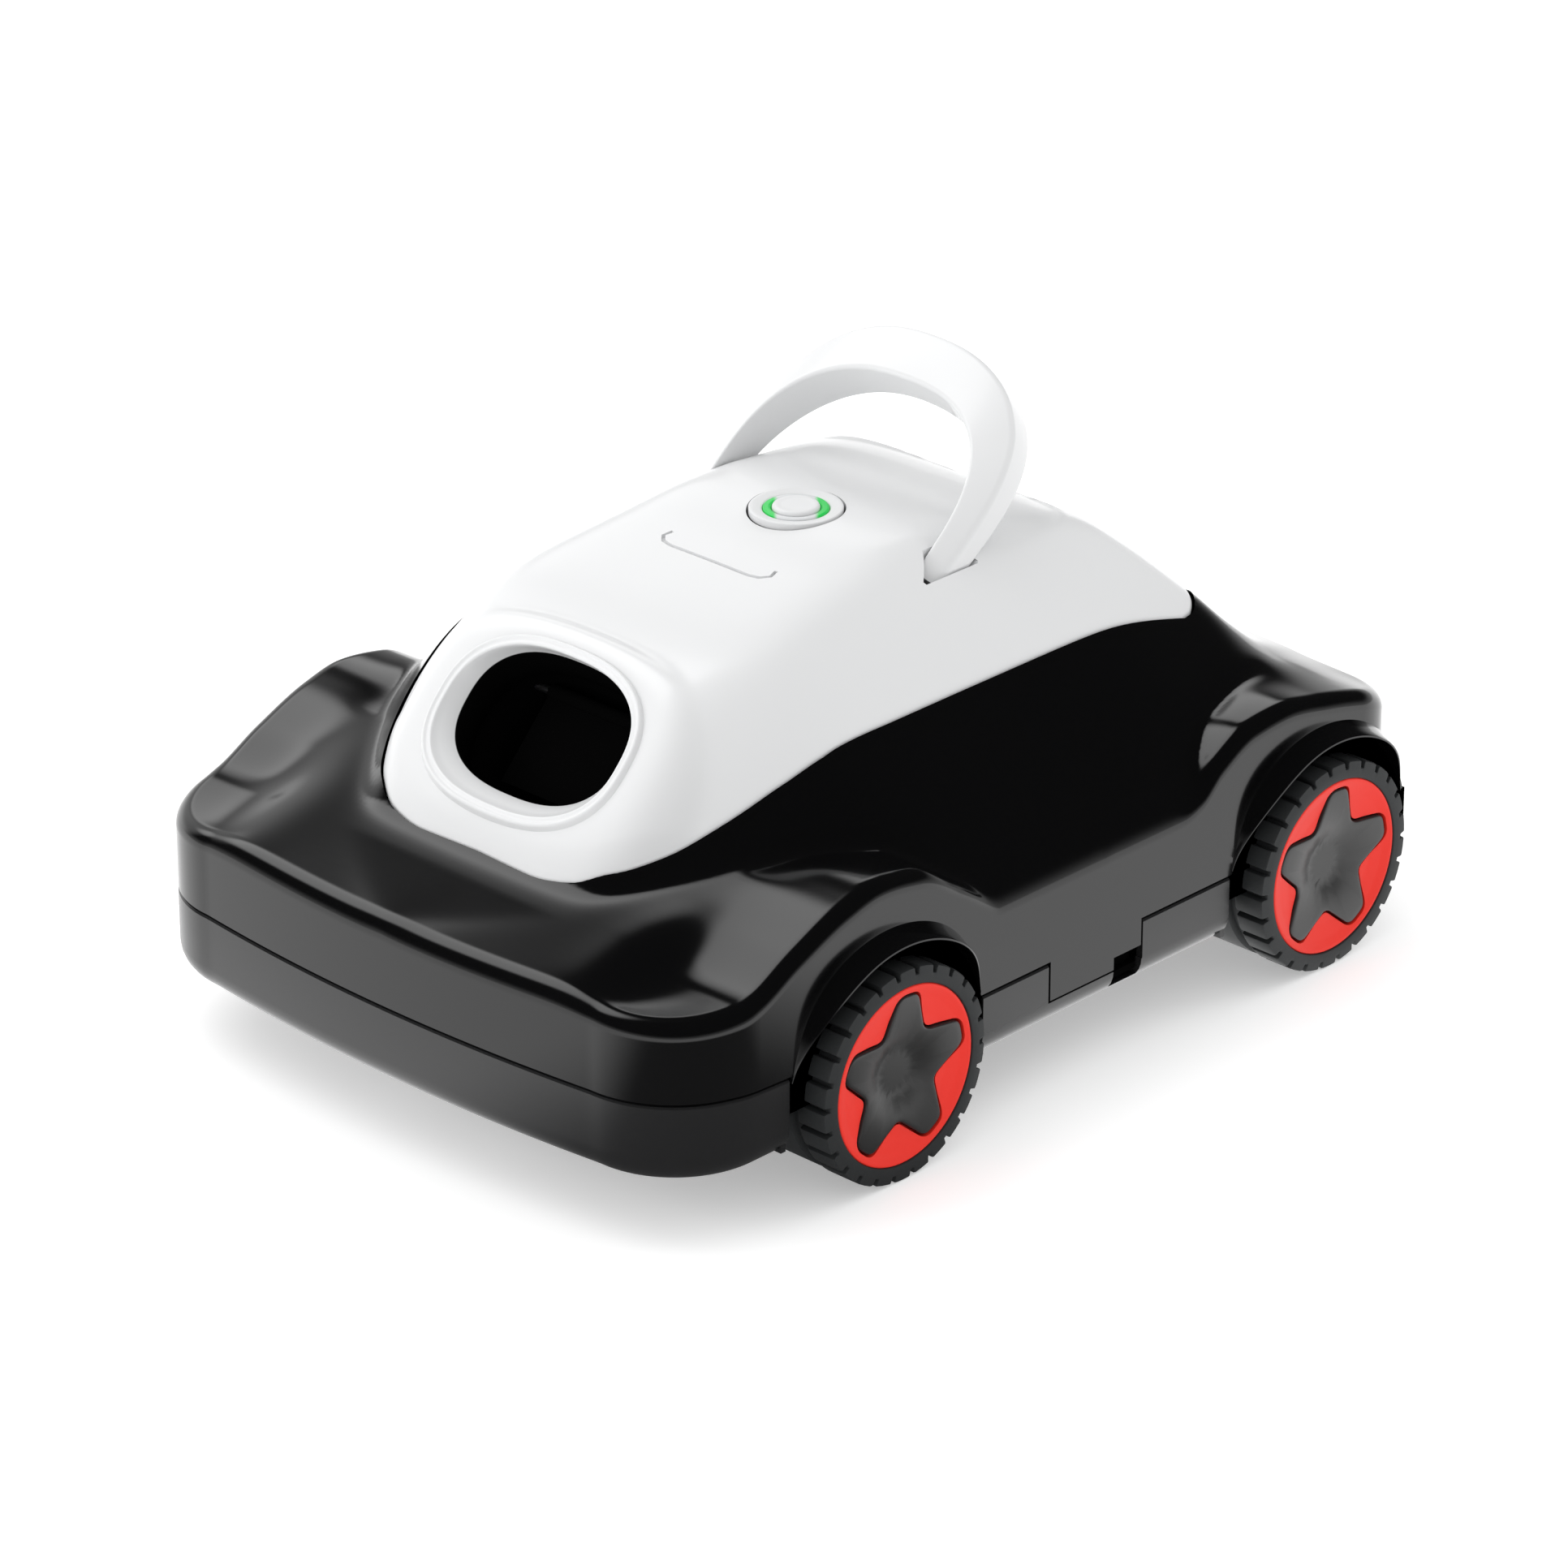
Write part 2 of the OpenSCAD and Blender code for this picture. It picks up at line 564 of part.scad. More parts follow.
module pump_shaft() color(steel)
    upright(impeller_z[0] + 3, box_z[0] + box_wall + 20, shaft_d / 2, 0, pump_y);
module impeller() color(grey) difference() {
    union() {
        upright(impeller_z[0], impeller_z[1], 8, 0, pump_y);
        translate([0, pump_y, 0]) intersection() {
            upright(impeller_z[0], impeller_z[1], pump_r - tip_gap, 0, 0);
            for (a = [0 : 360 / blade_count : 359]) rotate([0, 0, a])
                translate([6, 0, (impeller_z[0] + impeller_z[1]) / 2]) rotate([38, 0, 0])
                translate([0, -11, -1]) cube([pump_r, 22, 2]);
        }
    }
    upright(impeller_z[0] + 3, impeller_z[1] + 1, shaft_d / 2, 0, pump_y);
}
throat_x = 24;
throat_z = [chamber_z[0] + 4, box_z[0] - wall - 3];
module duct_run(grow) {
    hull() {
        at_nose() translate([0, 0, -mouth_depth - 1.7]) linear_extrude(1.4) outlet_shape(grow);
        span_box([-throat_x - grow, throat_x + grow], [pump_y - 30, pump_y - 28],
            [throat_z[0] - grow, throat_z[1] + grow]);
    }
}
module outlet_duct() color(black) difference() {
    union() {
        upright(chamber_z[0], chamber_z[1] - 0.2, pump_r + wall, 0, pump_y);
        duct_run(2.2);
    }
    upright(chamber_z[0] - 1, chamber_z[1] - wall, pump_r, 0, pump_y);
    upright(chamber_z[1] - wall - 1, chamber_z[1] + 1, seal_r, 0, pump_y);
    duct_run(0);
    at_nose() translate([0, 0, -mouth_depth - 2]) linear_extrude(3) outlet_shape(0);
    both_sides() along_x(20, outlet_half_w + 4, flap_pin_r + 0.02, flap_pin_y, flap_pin_z);
}
// Non-return flap that hangs across the outlet behind its mouth
flap_pin_r = 1.5;
flap_s = outlet_h / 2 - 9;
flap_depth = mouth_depth + 8;
flap_pin_y = nose_y + flap_s * cos(nose_tilt) + flap_depth * sin(nose_tilt);
flap_pin_z = nose_z + flap_s * sin(nose_tilt) - flap_depth * cos(nose_tilt);
flap_half_w = 26;
module flap_pin() color(steel)
    along_x(-outlet_half_w + 6, outlet_half_w - 6, flap_pin_r, flap_pin_y, flap_pin_z);
module outlet_flap() color(black) difference() {
    union() {
        along_x(-flap_half_w, flap_half_w, 3, flap_pin_y, flap_pin_z);
        at_nose() translate([-flap_half_w, flap_s - 38, -flap_depth - 1])
            cube([2 * flap_half_w, 38, 2]);
    }
    along_x(-flap_half_w - 1, flap_half_w + 1, flap_pin_r + run_gap, flap_pin_y, flap_pin_z);
}

// ---- Chassis frame that joins shells, pump, gearbox and axles ----
bracket_x = [well_x - 14, well_x - 4];
bush_r = axle_d / 2 + 2.5;
gear_x = [10, 10 + gear_w];
gear_reach = (gear_teeth + pinion_teeth) * gear_m / 2;
drive_y = rear_y - 0.8 * gear_reach;
drive_z = tyre_r + 0.6 * gear_reach;
drive_r = 15;
drive_x = [gear_x[1] + 4, gear_x[1] + 52];
module chassis_frame() color(grey) difference() {
    union() {
        span_box([-92, 92], [-half_l + 24, half_l - 24], chassis_z);
        span_box([-101, 101], [-28, 70], chassis_z);
        for (y = [front_y, rear_y]) both_sides()
            span_box(bracket_x, [y - 10, y + 10], [tyre_r - 9, chassis_z[0] + 1]);
        along_x(drive_x[0] + 8, drive_x[1] - 8, drive_r + 3, drive_y, drive_z);
    }
    upright(chassis_z[0] - 1, chassis_z[1] + 1, pump_r, 0, pump_y);
    along_x(-half_w, half_w, axle_d / 2, front_y, tyre_r);
    along_x(-half_w, half_w, bush_r, rear_y, tyre_r);
    along_x(drive_x[0] - 1, drive_x[1] + 1, drive_r + 0.1, drive_y, drive_z);
    span_box([gear_x[0] - 3, gear_x[1] + 3], [drive_y - 16, rear_y + 16], [40, 90]);
    span_box([drive_x[0] - 2, drive_x[1] + 2], [drive_y - 22, drive_y + 22],
        [0, drive_z - 2]);
    for (p = post_places) both_sides() upright(chassis_z[0] - 1, chassis_z[1] + 1, 1.6, p[0], p[1]);
}
module shell_screws() color(steel) for (p = post_places) both_sides()
    pan_screw(chassis_z[0] - 2, chassis_z[1] + 12, p[0], p[1]);

// ---- Axles, gears and drive motor ----
axle_end = track_w / 2 - 8;
module front_axles() color(steel) both_sides()
    along_x(bracket_x[0], axle_end, axle_d / 2, front_y, tyre_r);
module rear_axle() color(steel) along_x(-axle_end, axle_end, axle_d / 2, rear_y, tyre_r);
module axle_bushes() color(brass) both_sides() difference() {
    along_x(bracket_x[0], bracket_x[1], bush_r, rear_y, tyre_r);
    along_x(bracket_x[0] - 1, bracket_x[1] + 1, axle_d / 2 + run_gap, rear_y, tyre_r);
}
// Straight-sided teeth: the outline steps between the root and tip circles
module gear_outline(teeth) {
    pitch_r = teeth * gear_m / 2;
    polygon([for (i = [0 : teeth - 1], c = [[-0.33, -1.15], [-0.13, 0.85], [0.13, 0.85],
        [0.33, -1.15]]) let(a = 360 * (i + c[0]) / teeth, r = pitch_r + c[1] * gear_m)
        [r * cos(a), r * sin(a)]]);
}
mesh_angle = atan2(drive_z - tyre_r, drive_y - rear_y);
module axle_gear() color(white) difference() {
    translate([gear_x[0], rear_y, tyre_r]) rotate([90, 0, 90]) rotate([0, 0, mesh_angle])
        linear_extrude(gear_w) gear_outline(gear_teeth);
    along_x(gear_x[0] - 1, gear_x[1] + 1, axle_d / 2, rear_y, tyre_r);
}
module motor_pinion() color(brass) {
    translate([gear_x[0], drive_y, drive_z]) rotate([90, 0, 90])
        rotate([0, 0, mesh_angle + 180 + 180 / pinion_teeth])
        linear_extrude(gear_w) gear_outline(pinion_teeth);
    along_x(gear_x[0], drive_x[0] + 10, 2, drive_y, drive_z);
}
module drive_motor() color(steel) difference() {
    along_x(drive_x[0], drive_x[1], drive_r, drive_y, drive_z);
    along_x(drive_x[0] - 1, drive_x[0] + 12, 2 + run_gap, drive_y, drive_z);
}

// ---- Wheels: rubber tyre, red rim and star cap ----
module at_wheel(front, side) {
    mirror([side < 0 ? 1 : 0, 0, 0]) translate([wheel_x, front ? front_y : rear_y, tyre_r])
        rotate([90, 0, 90]) children();
}
half_t = tyre_w / 2;
groove_r = tyre_r - lug_depth;
module tyre(front, side) color(grey) at_wheel(front, side) difference() {
    union() {
        rotate_extrude() polygon([[rim_r, -half_t], [groove_r - 1.5, -half_t],
            [groove_r, -half_t + 1.5], [groove_r, half_t - 1.5], [groove_r - 1.5, half_t],
            [rim_r, half_t]]);
        rotate_extrude() polygon([[rim_r + 1, -half_t + 3], [tyre_r, -half_t + 3],
            [tyre_r, half_t - 19], [rim_r + 1, half_t - 19]]);
        for (i = [0 : lug_count - 1]) rotate([0, 0, 360 * (i + 0.5) / lug_count])
            translate([rim_r + 2, -0.3 * 2 * PI * tyre_r / lug_count, half_t - 14])
            cube([tyre_r - rim_r - 2.15, 0.6 * 2 * PI * tyre_r / lug_count, 13]);
    }
    translate([0, 0, -half_t - 1]) cylinder(h = tyre_w + 2, r = rim_r);
}
star_tip = 31.5;
star_root = 18;
star_turn = 5;
module star_outline(grow) {
    offset(r = 2.5) offset(delta = -5 + grow) offset(r = 2.5)
        polygon([for (i = [0 : 4], c = [[-36, star_root], [-9, star_tip], [9, star_tip]])
            let(a = 90 - star_turn + 72 * i + c[0]) [c[1] * cos(a), c[1] * sin(a)]]);
}
module rim(front, side) color(red) at_wheel(front, side) difference() {
    rotate_extrude() polygon([[axle_d / 2 + (front ? run_gap : 0), -half_t + 4],
        [11, -half_t + 4], [11, half_t - 12], [rim_r - 3, half_t - 9], [rim_r - 3, -half_t],
        [rim_r, -half_t], [rim_r, half_t - 0.8], [rim_r - 1, half_t], [rim_r - 2.5, half_t],
        [18, half_t - 4], [axle_d / 2 + (front ? run_gap : 0), half_t - 4]]);
    translate([0, 0, half_t - 6.5]) linear_extrude(10) star_outline(1);
}
module star_cap(front, side) color(grey) at_wheel(front, side) difference() {
    translate([0, 0, half_t - 6.5]) linear_extrude(6) star_outline(0);
    translate([0, 0, half_t - 3.5]) cylinder(h = 4, r1 = 9, r2 = 22);
    translate([0, 0, half_t - 7]) cylinder(h = 2, r = axle_d / 2 + 0.3);
}

// ---- Base tray with its intakes ----
intake_half_l = 34;
intake_w = 14;
intake_y = [-22 * run, 48 * run];
throat_top = belly_z + wall + 4;
roller_r = 7;
roller_y = -half_l + 26;
roller_z = belly_z - 1;
roller_half_l = 22;
chamfer = 9;
module tray_block(inset, low) {
    hull() {
        translate([0, 0, low]) linear_extrude(0.1) outline(chamfer + inset);
        translate([0, 0, belly_z + chamfer]) linear_extrude(40) outline(inset);
    }
}
module base_tray() color(grey) difference() {
    union() {
        difference() {
            tray_block(0, belly_z);
            difference() {
                tray_block(wall, belly_z + wall);
                each_wheel() arch_space(wall, well_x - wall);
            }
        }
        for (y = intake_y) span_box([-intake_half_l - 2, intake_half_l + 2],
            [y - intake_w / 2 - 2, y + intake_w / 2 + 2], [belly_z + 1, throat_top]);
        // Flat pad between the intakes that a storage stand bears on
        span_box([-40, 40], [intake_y[0] + 12, intake_y[1] - 12], [belly_z - 0.6, belly_z + 1]);
    }
    each_wheel() arch_space(0, well_x);
    each_wheel() span_box([well_x - wall - 1, well_x + 1], [-axle_d, axle_d],
        [tyre_r - axle_d, part_front_z + 20]);
    difference() {
        span_box([-half_w - 10, half_w + 10], [-half_l - 10, half_l + 10], [0, 100]);
        below_part_line(0.4);
    }
    side_tabs(0.4);
    both_sides() span_box([half_w - 12, half_w + 5], notch_y, [belly_z + wall, notch_z + 20]);
    for (y = intake_y) span_box([-intake_half_l, intake_half_l],
        [y - intake_w / 2, y + intake_w / 2], [0, throat_top + 1]);
    span_box([-roller_half_l - 2, roller_half_l + 2],
        [roller_y - roller_r - 1.5, roller_y + roller_r + 1.5], [0, belly_z + wall + 1]);
    along_x(-roller_half_l - 7, roller_half_l + 7, 2.06, roller_y, roller_z);
}
module intake_skirt() color(black) for (y = [intake_y[0] - 16, intake_y[1] + 16])
    span_box([-60, 60], [y - 1.5, y + 1.5], [belly_z - 17, belly_z]);

// ---- Intake flaps inside the filter basket ----
basket_x = 76;
basket_y = [-74 * run, 92 * run];
basket_z = [throat_top, chassis_z[0] - 1];
basket_wall = 2;
inlet_pin_z = basket_z[0] + basket_wall + 2.6;
function inlet_pin_y(y) = y - intake_w / 2 - 4;
module inlet_pins() color(steel) for (y = intake_y)
    along_x(-intake_half_l - 6, intake_half_l + 6, 1.2, inlet_pin_y(y), inlet_pin_z);
module inlet_flap(y) color(black) difference() {
    union() {
        along_x(-intake_half_l + 1, intake_half_l - 1, 2.3, inlet_pin_y(y), inlet_pin_z);
        span_box([-intake_half_l + 1, intake_half_l - 1],
            [inlet_pin_y(y), y + intake_w / 2 + 2],
            [basket_z[0] + basket_wall + 0.4, basket_z[0] + basket_wall + 1.9]);
    }
    along_x(-intake_half_l, intake_half_l, 1.2 + run_gap, inlet_pin_y(y), inlet_pin_z);
}
window_w = 26;
window_gap = 6;
window_z = [basket_z[0] + 6, basket_z[1] - 4];
window_count = 4;
window_y0 = (basket_y[0] + basket_y[1]) / 2
    - (window_count * (window_w + window_gap) - window_gap) / 2;
module filter_basket() color(white) difference() {
    union() {
        difference() {
            span_box([-basket_x, basket_x], basket_y, basket_z);
            span_box([-basket_x + basket_wall, basket_x - basket_wall],
                [basket_y[0] + basket_wall, basket_y[1] - basket_wall],
                [basket_z[0] + basket_wall, basket_z[1] + 1]);
        }
        for (y = intake_y) both_sides() span_box([intake_half_l + 0.5, intake_half_l + 5],
            [inlet_pin_y(y) - 3.5, inlet_pin_y(y) + 3.5],
            [basket_z[0] + 1, inlet_pin_z + 3]);
    }
    for (y = intake_y) {
        span_box([-intake_half_l, intake_half_l], [y - intake_w / 2, y + intake_w / 2],
            [0, basket_z[0] + basket_wall + 0.1]);
        along_x(-intake_half_l - 7, intake_half_l + 7, 1.2, inlet_pin_y(y), inlet_pin_z);
    }
    for (i = [0 : window_count - 1]) let(y = window_y0 + i * (window_w + window_gap))
        span_box([-basket_x - 1, basket_x + 1], [y, y + window_w], window_z);
}
module filter_screens() color(steel) both_sides()
    for (i = [0 : window_count - 1]) let(y = window_y0 + i * (window_w + window_gap))
        span_box([basket_x - basket_wall + 0.6, basket_x - 0.6], [y, y + window_w], window_z);

// ---- Side latches that hold the base tray ----
latch_x = half_w - 7;
latch_pin_z = notch_z + 12;
latch_pin_r = 1.5;
latch_y = [notch_y[0] + 1, notch_y[1] - 1];
module latch() {
    difference() {
        union() {
            along_y(latch_y[0] + 3, latch_y[1] - 3, 3, latch_x, latch_pin_z);
            span_box([latch_x - 1.5, latch_x + 1.5], latch_y, [belly_z + wall + 3, latch_pin_z]);
            span_box([latch_x, latch_x + 4.5], latch_y,
                [belly_z + wall + 3, belly_z + wall + 5.5]);
        }
        along_y(latch_y[0] - 1, latch_y[1] + 1, latch_pin_r + run_gap, latch_x, latch_pin_z);
        for (y = [latch_y[0] - 1, latch_y[1] - 3]) span_box([latch_x - 9, latch_x + 9],
            [y, y + 4], [latch_pin_z - 3.5, latch_pin_z + 4]);
    }
}
module latch_left() color(black) mirror([1, 0, 0]) latch();
module latch_right() color(black) latch();
module latch_pins() color(steel) both_sides() {
    along_y(latch_y[0] - 4, latch_y[1] + 4, latch_pin_r, latch_x, latch_pin_z);
    for (y = [latch_y[0] - 5, latch_y[1] + 1]) difference() {
        span_box([latch_x - 3, latch_x + 3], [y, y + 4], [latch_pin_z - 3, latch_pin_z + 3]);
        along_y(y - 1, y + 5, latch_pin_r, latch_x, latch_pin_z);
    }
}

// ---- Charging port in the stern ----
port_x = 60;
port_z = 76;
plug_r = 9;
port_y = half_l - 5;
module charge_socket() color(steel) difference() {
    along_y(port_y - 16, port_y - 4, plug_r + 2, port_x, port_z);
    along_y(port_y - 12, port_y - 3, plug_r - 2, port_x, port_z);
}
module port_plug() color(black) {
    along_y(port_y, port_y + 3.4, plug_r, port_x, port_z);
    along_y(port_y - 8, port_y, plug_r - 2.4, port_x, port_z);
}

// ---- Belly roller that lifts the bow over drains ----
module belly_roller() color(grey) difference() {
    along_x(-roller_half_l, roller_half_l, roller_r, roller_y, roller_z);
    along_x(-roller_half_l - 1, roller_half_l + 1, 2 + run_gap, roller_y, roller_z);
}
module roller_pin() color(steel) {
    along_x(-roller_half_l - 6, roller_half_l + 6, 2, roller_y, roller_z);
    both_sides() difference() {
        span_box([roller_half_l + 2.5, roller_half_l + 6], [roller_y - 5, roller_y + 5],
            [roller_z - 4, belly_z]);
        along_x(roller_half_l, roller_half_l + 8, 2, roller_y, roller_z);
    }
}

upper_shell();
top_cover();
carry_handle();
handle_screws();
outlet_mouth();
outlet_duct();
outlet_flap();
flap_pin();
control_panel();
power_button();
light_ring();
button_spring();
dry_box();
dry_box_lid();
box_seal();
lid_screws();
battery_cells();
battery_holder();
control_board();
pump_motor();
shaft_seal();
pump_shaft();
impeller();
drive_motor();
motor_pinion();
axle_gear();
rear_axle();
axle_bushes();
front_axles();
chassis_frame();
base_tray();
intake_skirt();
inlet_flap(intake_y[0]);  // inlet_flap_front
inlet_flap(intake_y[1]);  // inlet_flap_rear
inlet_pins();
filter_basket();
filter_screens();
latch_left();
latch_right();
latch_pins();
charge_socket();
port_plug();
shell_screws();
tyre(true, -1);  // tyre_front_left
tyre(true, 1);  // tyre_front_right
tyre(false, -1);  // tyre_rear_left
tyre(false, 1);  // tyre_rear_right
rim(true, -1);  // rim_front_left
rim(true, 1);  // rim_front_right
rim(false, -1);  // rim_rear_left
rim(false, 1);  // rim_rear_right
star_cap(true, -1);  // star_cap_front_left
star_cap(true, 1);  // star_cap_front_right
star_cap(false, -1);  // star_cap_rear_left
star_cap(false, 1);  // star_cap_rear_right
belly_roller();
roller_pin();
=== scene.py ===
import math

import bpy
import numpy as np
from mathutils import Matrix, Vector


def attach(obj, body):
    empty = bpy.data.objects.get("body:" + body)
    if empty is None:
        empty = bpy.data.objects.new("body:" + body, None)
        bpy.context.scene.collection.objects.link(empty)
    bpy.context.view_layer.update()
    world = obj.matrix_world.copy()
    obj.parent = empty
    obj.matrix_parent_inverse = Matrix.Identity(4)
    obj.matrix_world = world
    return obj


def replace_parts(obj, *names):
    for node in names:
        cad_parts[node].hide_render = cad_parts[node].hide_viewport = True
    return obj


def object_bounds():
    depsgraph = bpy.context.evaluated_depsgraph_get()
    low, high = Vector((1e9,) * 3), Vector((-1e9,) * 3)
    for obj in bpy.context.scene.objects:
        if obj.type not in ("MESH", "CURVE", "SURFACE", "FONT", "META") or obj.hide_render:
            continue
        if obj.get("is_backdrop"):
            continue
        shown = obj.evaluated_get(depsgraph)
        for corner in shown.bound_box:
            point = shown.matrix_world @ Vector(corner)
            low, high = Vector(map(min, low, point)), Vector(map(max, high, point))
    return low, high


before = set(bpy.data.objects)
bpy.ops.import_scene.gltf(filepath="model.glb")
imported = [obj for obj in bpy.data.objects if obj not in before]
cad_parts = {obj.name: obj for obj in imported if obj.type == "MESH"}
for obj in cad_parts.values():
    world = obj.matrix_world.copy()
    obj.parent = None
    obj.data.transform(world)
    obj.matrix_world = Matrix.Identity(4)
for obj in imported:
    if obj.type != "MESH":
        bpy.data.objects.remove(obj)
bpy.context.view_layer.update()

MM = 0.001

# ---- Camera, floor and light ----
# A low three-quarter view from the bow's right side, on a seamless white floor.
# Large soft lights shape the white cover. Gloss surfaces see a dark sky with three soft
# glows, and a pale floor with one dark flag off the front right corner.
bpy.ops.object.select_all(action="DESELECT")
bpy.ops.object.camera_add(location=(1.720, -1.786, 1.247))
camera = bpy.context.object
camera.rotation_euler = Vector((-0.627, 0.652, -0.427)).to_track_quat("-Z", "Y").to_euler()
camera.data.lens = 167.7
camera.data.sensor_width = 36
camera.data.clip_start, camera.data.clip_end = 0.05, 60
bpy.context.scene.camera = camera
bpy.context.scene.view_settings.view_transform = "Standard"


def nodes_of(material):
    material.use_nodes = True
    return material.node_tree.nodes, material.node_tree.links, material.node_tree.nodes["Principled BSDF"]


def add_ramp(tree, value, low, high, start=0.0, end=1.0, soft=True):
    """Carries a value between low and high to one between start and end."""
    ramp = tree.nodes.new("ShaderNodeMapRange")
    ramp.interpolation_type = "SMOOTHSTEP" if soft else "LINEAR"
    ramp.inputs["From Min"].default_value, ramp.inputs["From Max"].default_value = low, high
    ramp.inputs["To Min"].default_value, ramp.inputs["To Max"].default_value = start, end
    tree.links.new(value, ramp.inputs["Value"])
    return ramp.outputs["Result"]


def add_light(name, place, aim, size, power):
    """A large soft lamp that lights the object but isn't mirrored in it."""
    bpy.ops.object.light_add(type="AREA", location=place)
    lamp = bpy.context.object
    lamp.name = name
    lamp.data.shape = "RECTANGLE"
    lamp.data.size, lamp.data.size_y = size
    lamp.data.energy = power
    lamp.rotation_euler = (Vector(aim) - Vector(place)).to_track_quat("-Z", "Y").to_euler()
    lamp.visible_glossy = False
    lamp.visible_camera = False


add_light("overhead", (-0.8, -0.4, 1.8), (0, 0, 0.1), (1.5, 1.5), 9)
add_light("nose_side", (-1.2, -1.8, 0.9), (0, 0, 0.1), (1.2, 0.8), 14)
add_light("tail_side", (0.6, 1.7, 1.4), (0, 0.1, 0.1), (1.4, 0.6), 8)

world = bpy.data.worlds.new("studio")
bpy.context.scene.world = world
world.use_nodes = True
sky = world.node_tree.nodes
sky_links = world.node_tree.links
direction = sky.new("ShaderNodeTexCoord")
split = sky.new("ShaderNodeSeparateXYZ")
sky_links.new(direction.outputs["Generated"], split.inputs[0])


def add_glow(before, toward, start, full, strength):
    """Adds a soft round glow about a direction; start and full are cosines from it."""
    close = sky.new("ShaderNodeVectorMath")
    close.operation = "DOT_PRODUCT"
    close.inputs[1].default_value = Vector(toward).normalized()
    sky_links.new(direction.outputs["Generated"], close.inputs[0])
    fade = add_ramp(world.node_tree, close.outputs["Value"], start, full, end=strength)
    total = sky.new("ShaderNodeMath")
    total.operation = "ADD"
    sky_links.new(before, total.inputs[0])
    sky_links.new(fade, total.inputs[1])
    return total.outputs[0]


haze = add_ramp(world.node_tree, split.outputs["Z"], 0.30, 0.0, 0.02, 0.7)
glows = add_glow(haze, (-0.62, -0.05, 0.78), 0.915, 0.968, 2.6)
glows = add_glow(glows, (-0.64, 0.61, 0.47), 0.966, 0.992, 1.5)
glows = add_glow(glows, (-0.94, 0.15, 0.30), 0.86, 0.98, 0.9)
gloss_sky = sky.new("ShaderNodeBackground")
sky_links.new(glows, gloss_sky.inputs["Strength"])
soft_sky = sky["Background"]
soft_sky.inputs[0].default_value = (1, 1, 1, 1)
soft_sky.inputs[1].default_value = 0.86
gloss_sky.inputs[0].default_value = (1, 1, 1, 1)
seen_sky = sky.new("ShaderNodeBackground")
seen_sky.inputs[0].default_value = (1, 1, 1, 1)
rays = sky.new("ShaderNodeLightPath")
by_gloss = sky.new("ShaderNodeMixShader")
sky_links.new(rays.outputs["Is Glossy Ray"], by_gloss.inputs[0])
sky_links.new(soft_sky.outputs[0], by_gloss.inputs[1])
sky_links.new(gloss_sky.outputs[0], by_gloss.inputs[2])
by_sight = sky.new("ShaderNodeMixShader")
sky_links.new(rays.outputs["Is Camera Ray"], by_sight.inputs[0])
sky_links.new(by_gloss.outputs[0], by_sight.inputs[1])
sky_links.new(seen_sky.outputs[0], by_sight.inputs[2])
sky_links.new(by_sight.outputs[0], sky["World Output"].inputs[0])

bpy.ops.mesh.primitive_plane_add(size=40)
floor = bpy.context.object
floor.name = "studio_floor"
floor_paint = bpy.data.materials.new("pale_floor")
nodes, links, floor_shader = nodes_of(floor_paint)
floor_shader.inputs["Base Color"].default_value = (0.88, 0.88, 0.88, 1)
floor_shader.inputs["Roughness"].default_value = 0.9
floor_shader.inputs["Specular IOR Level"].default_value = 0.0
floor_shader.inputs["Emission Color"].default_value = (1, 1, 1, 1)
floor_shader.inputs["Emission Strength"].default_value = 0.34
spot = nodes.new("ShaderNodeNewGeometry")
away = nodes.new("ShaderNodeVectorMath")
away.operation = "DISTANCE"
away.inputs[1].default_value = (0.218, -0.21, 0)
links.new(spot.outputs["Position"], away.inputs[0])
flag = add_ramp(floor_paint.node_tree, away.outputs["Value"], 0.13, 0.25, 0.12, 1.5)
mirrored = nodes.new("ShaderNodeEmission")
links.new(flag, mirrored.inputs["Strength"])
rays = nodes.new("ShaderNodeLightPath")
choice = nodes.new("ShaderNodeMixShader")
links.new(rays.outputs["Is Glossy Ray"], choice.inputs[0])
links.new(floor_shader.outputs[0], choice.inputs[1])
links.new(mirrored.outputs[0], choice.inputs[2])
links.new(choice.outputs[0], nodes["Material Output"].inputs[0])
floor.data.materials.append(floor_paint)
floor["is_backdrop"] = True

# ---- Upper shell ----
# Injection-moulded gloss black ABS, about 3 mm thick, with a rounded shoulder, four wheel
# arches that stand proud of the walls, and a recess that takes the white top cover.
HALF_L, HALF_W = 205, 142
BOW, STERN, BOW_R, STERN_R = 6, 4, 42, 30
SHOULDER_R = 7
FRONT_Y, REAR_Y = -91.7, 145.3
TYRE_R, ARCH_R, WELL_X = 42, 50.5, 101
EYEBROW_OUT = 9
RIDGE = [(-170, 90), (-157, 104), (-140, 128), (-127, 143), (-108, 163), (-90, 170), (-71, 174.5),
         (-25, 182), (9, 187), (35, 187), (65, 183), (90, 177), (105, 171), (118, 161), (138, 141),
         (152, 125), (170, 110), (205, 90)]
FRONT_SHOULDER = [(-113.3, 91), (-95, 89.5), (-73, 91), (-65, 93), (-45, 103), (-20, 113),
                  (-3.6, 116.3), (17.5, 113.5), (39, 101), (58.6, 87)]
REAR_SHOULDER = [(-110, 87.5), (-79, 88), (-67, 92), (-56, 101.4), (-38, 110), (-20, 111.5),
                 (4, 107.5), (28, 101.5), (46, 95), (60, 91)]
STERN_DECK = [(60, 70), (120, 100), (150, 111), (170, 105), (205, 90)]


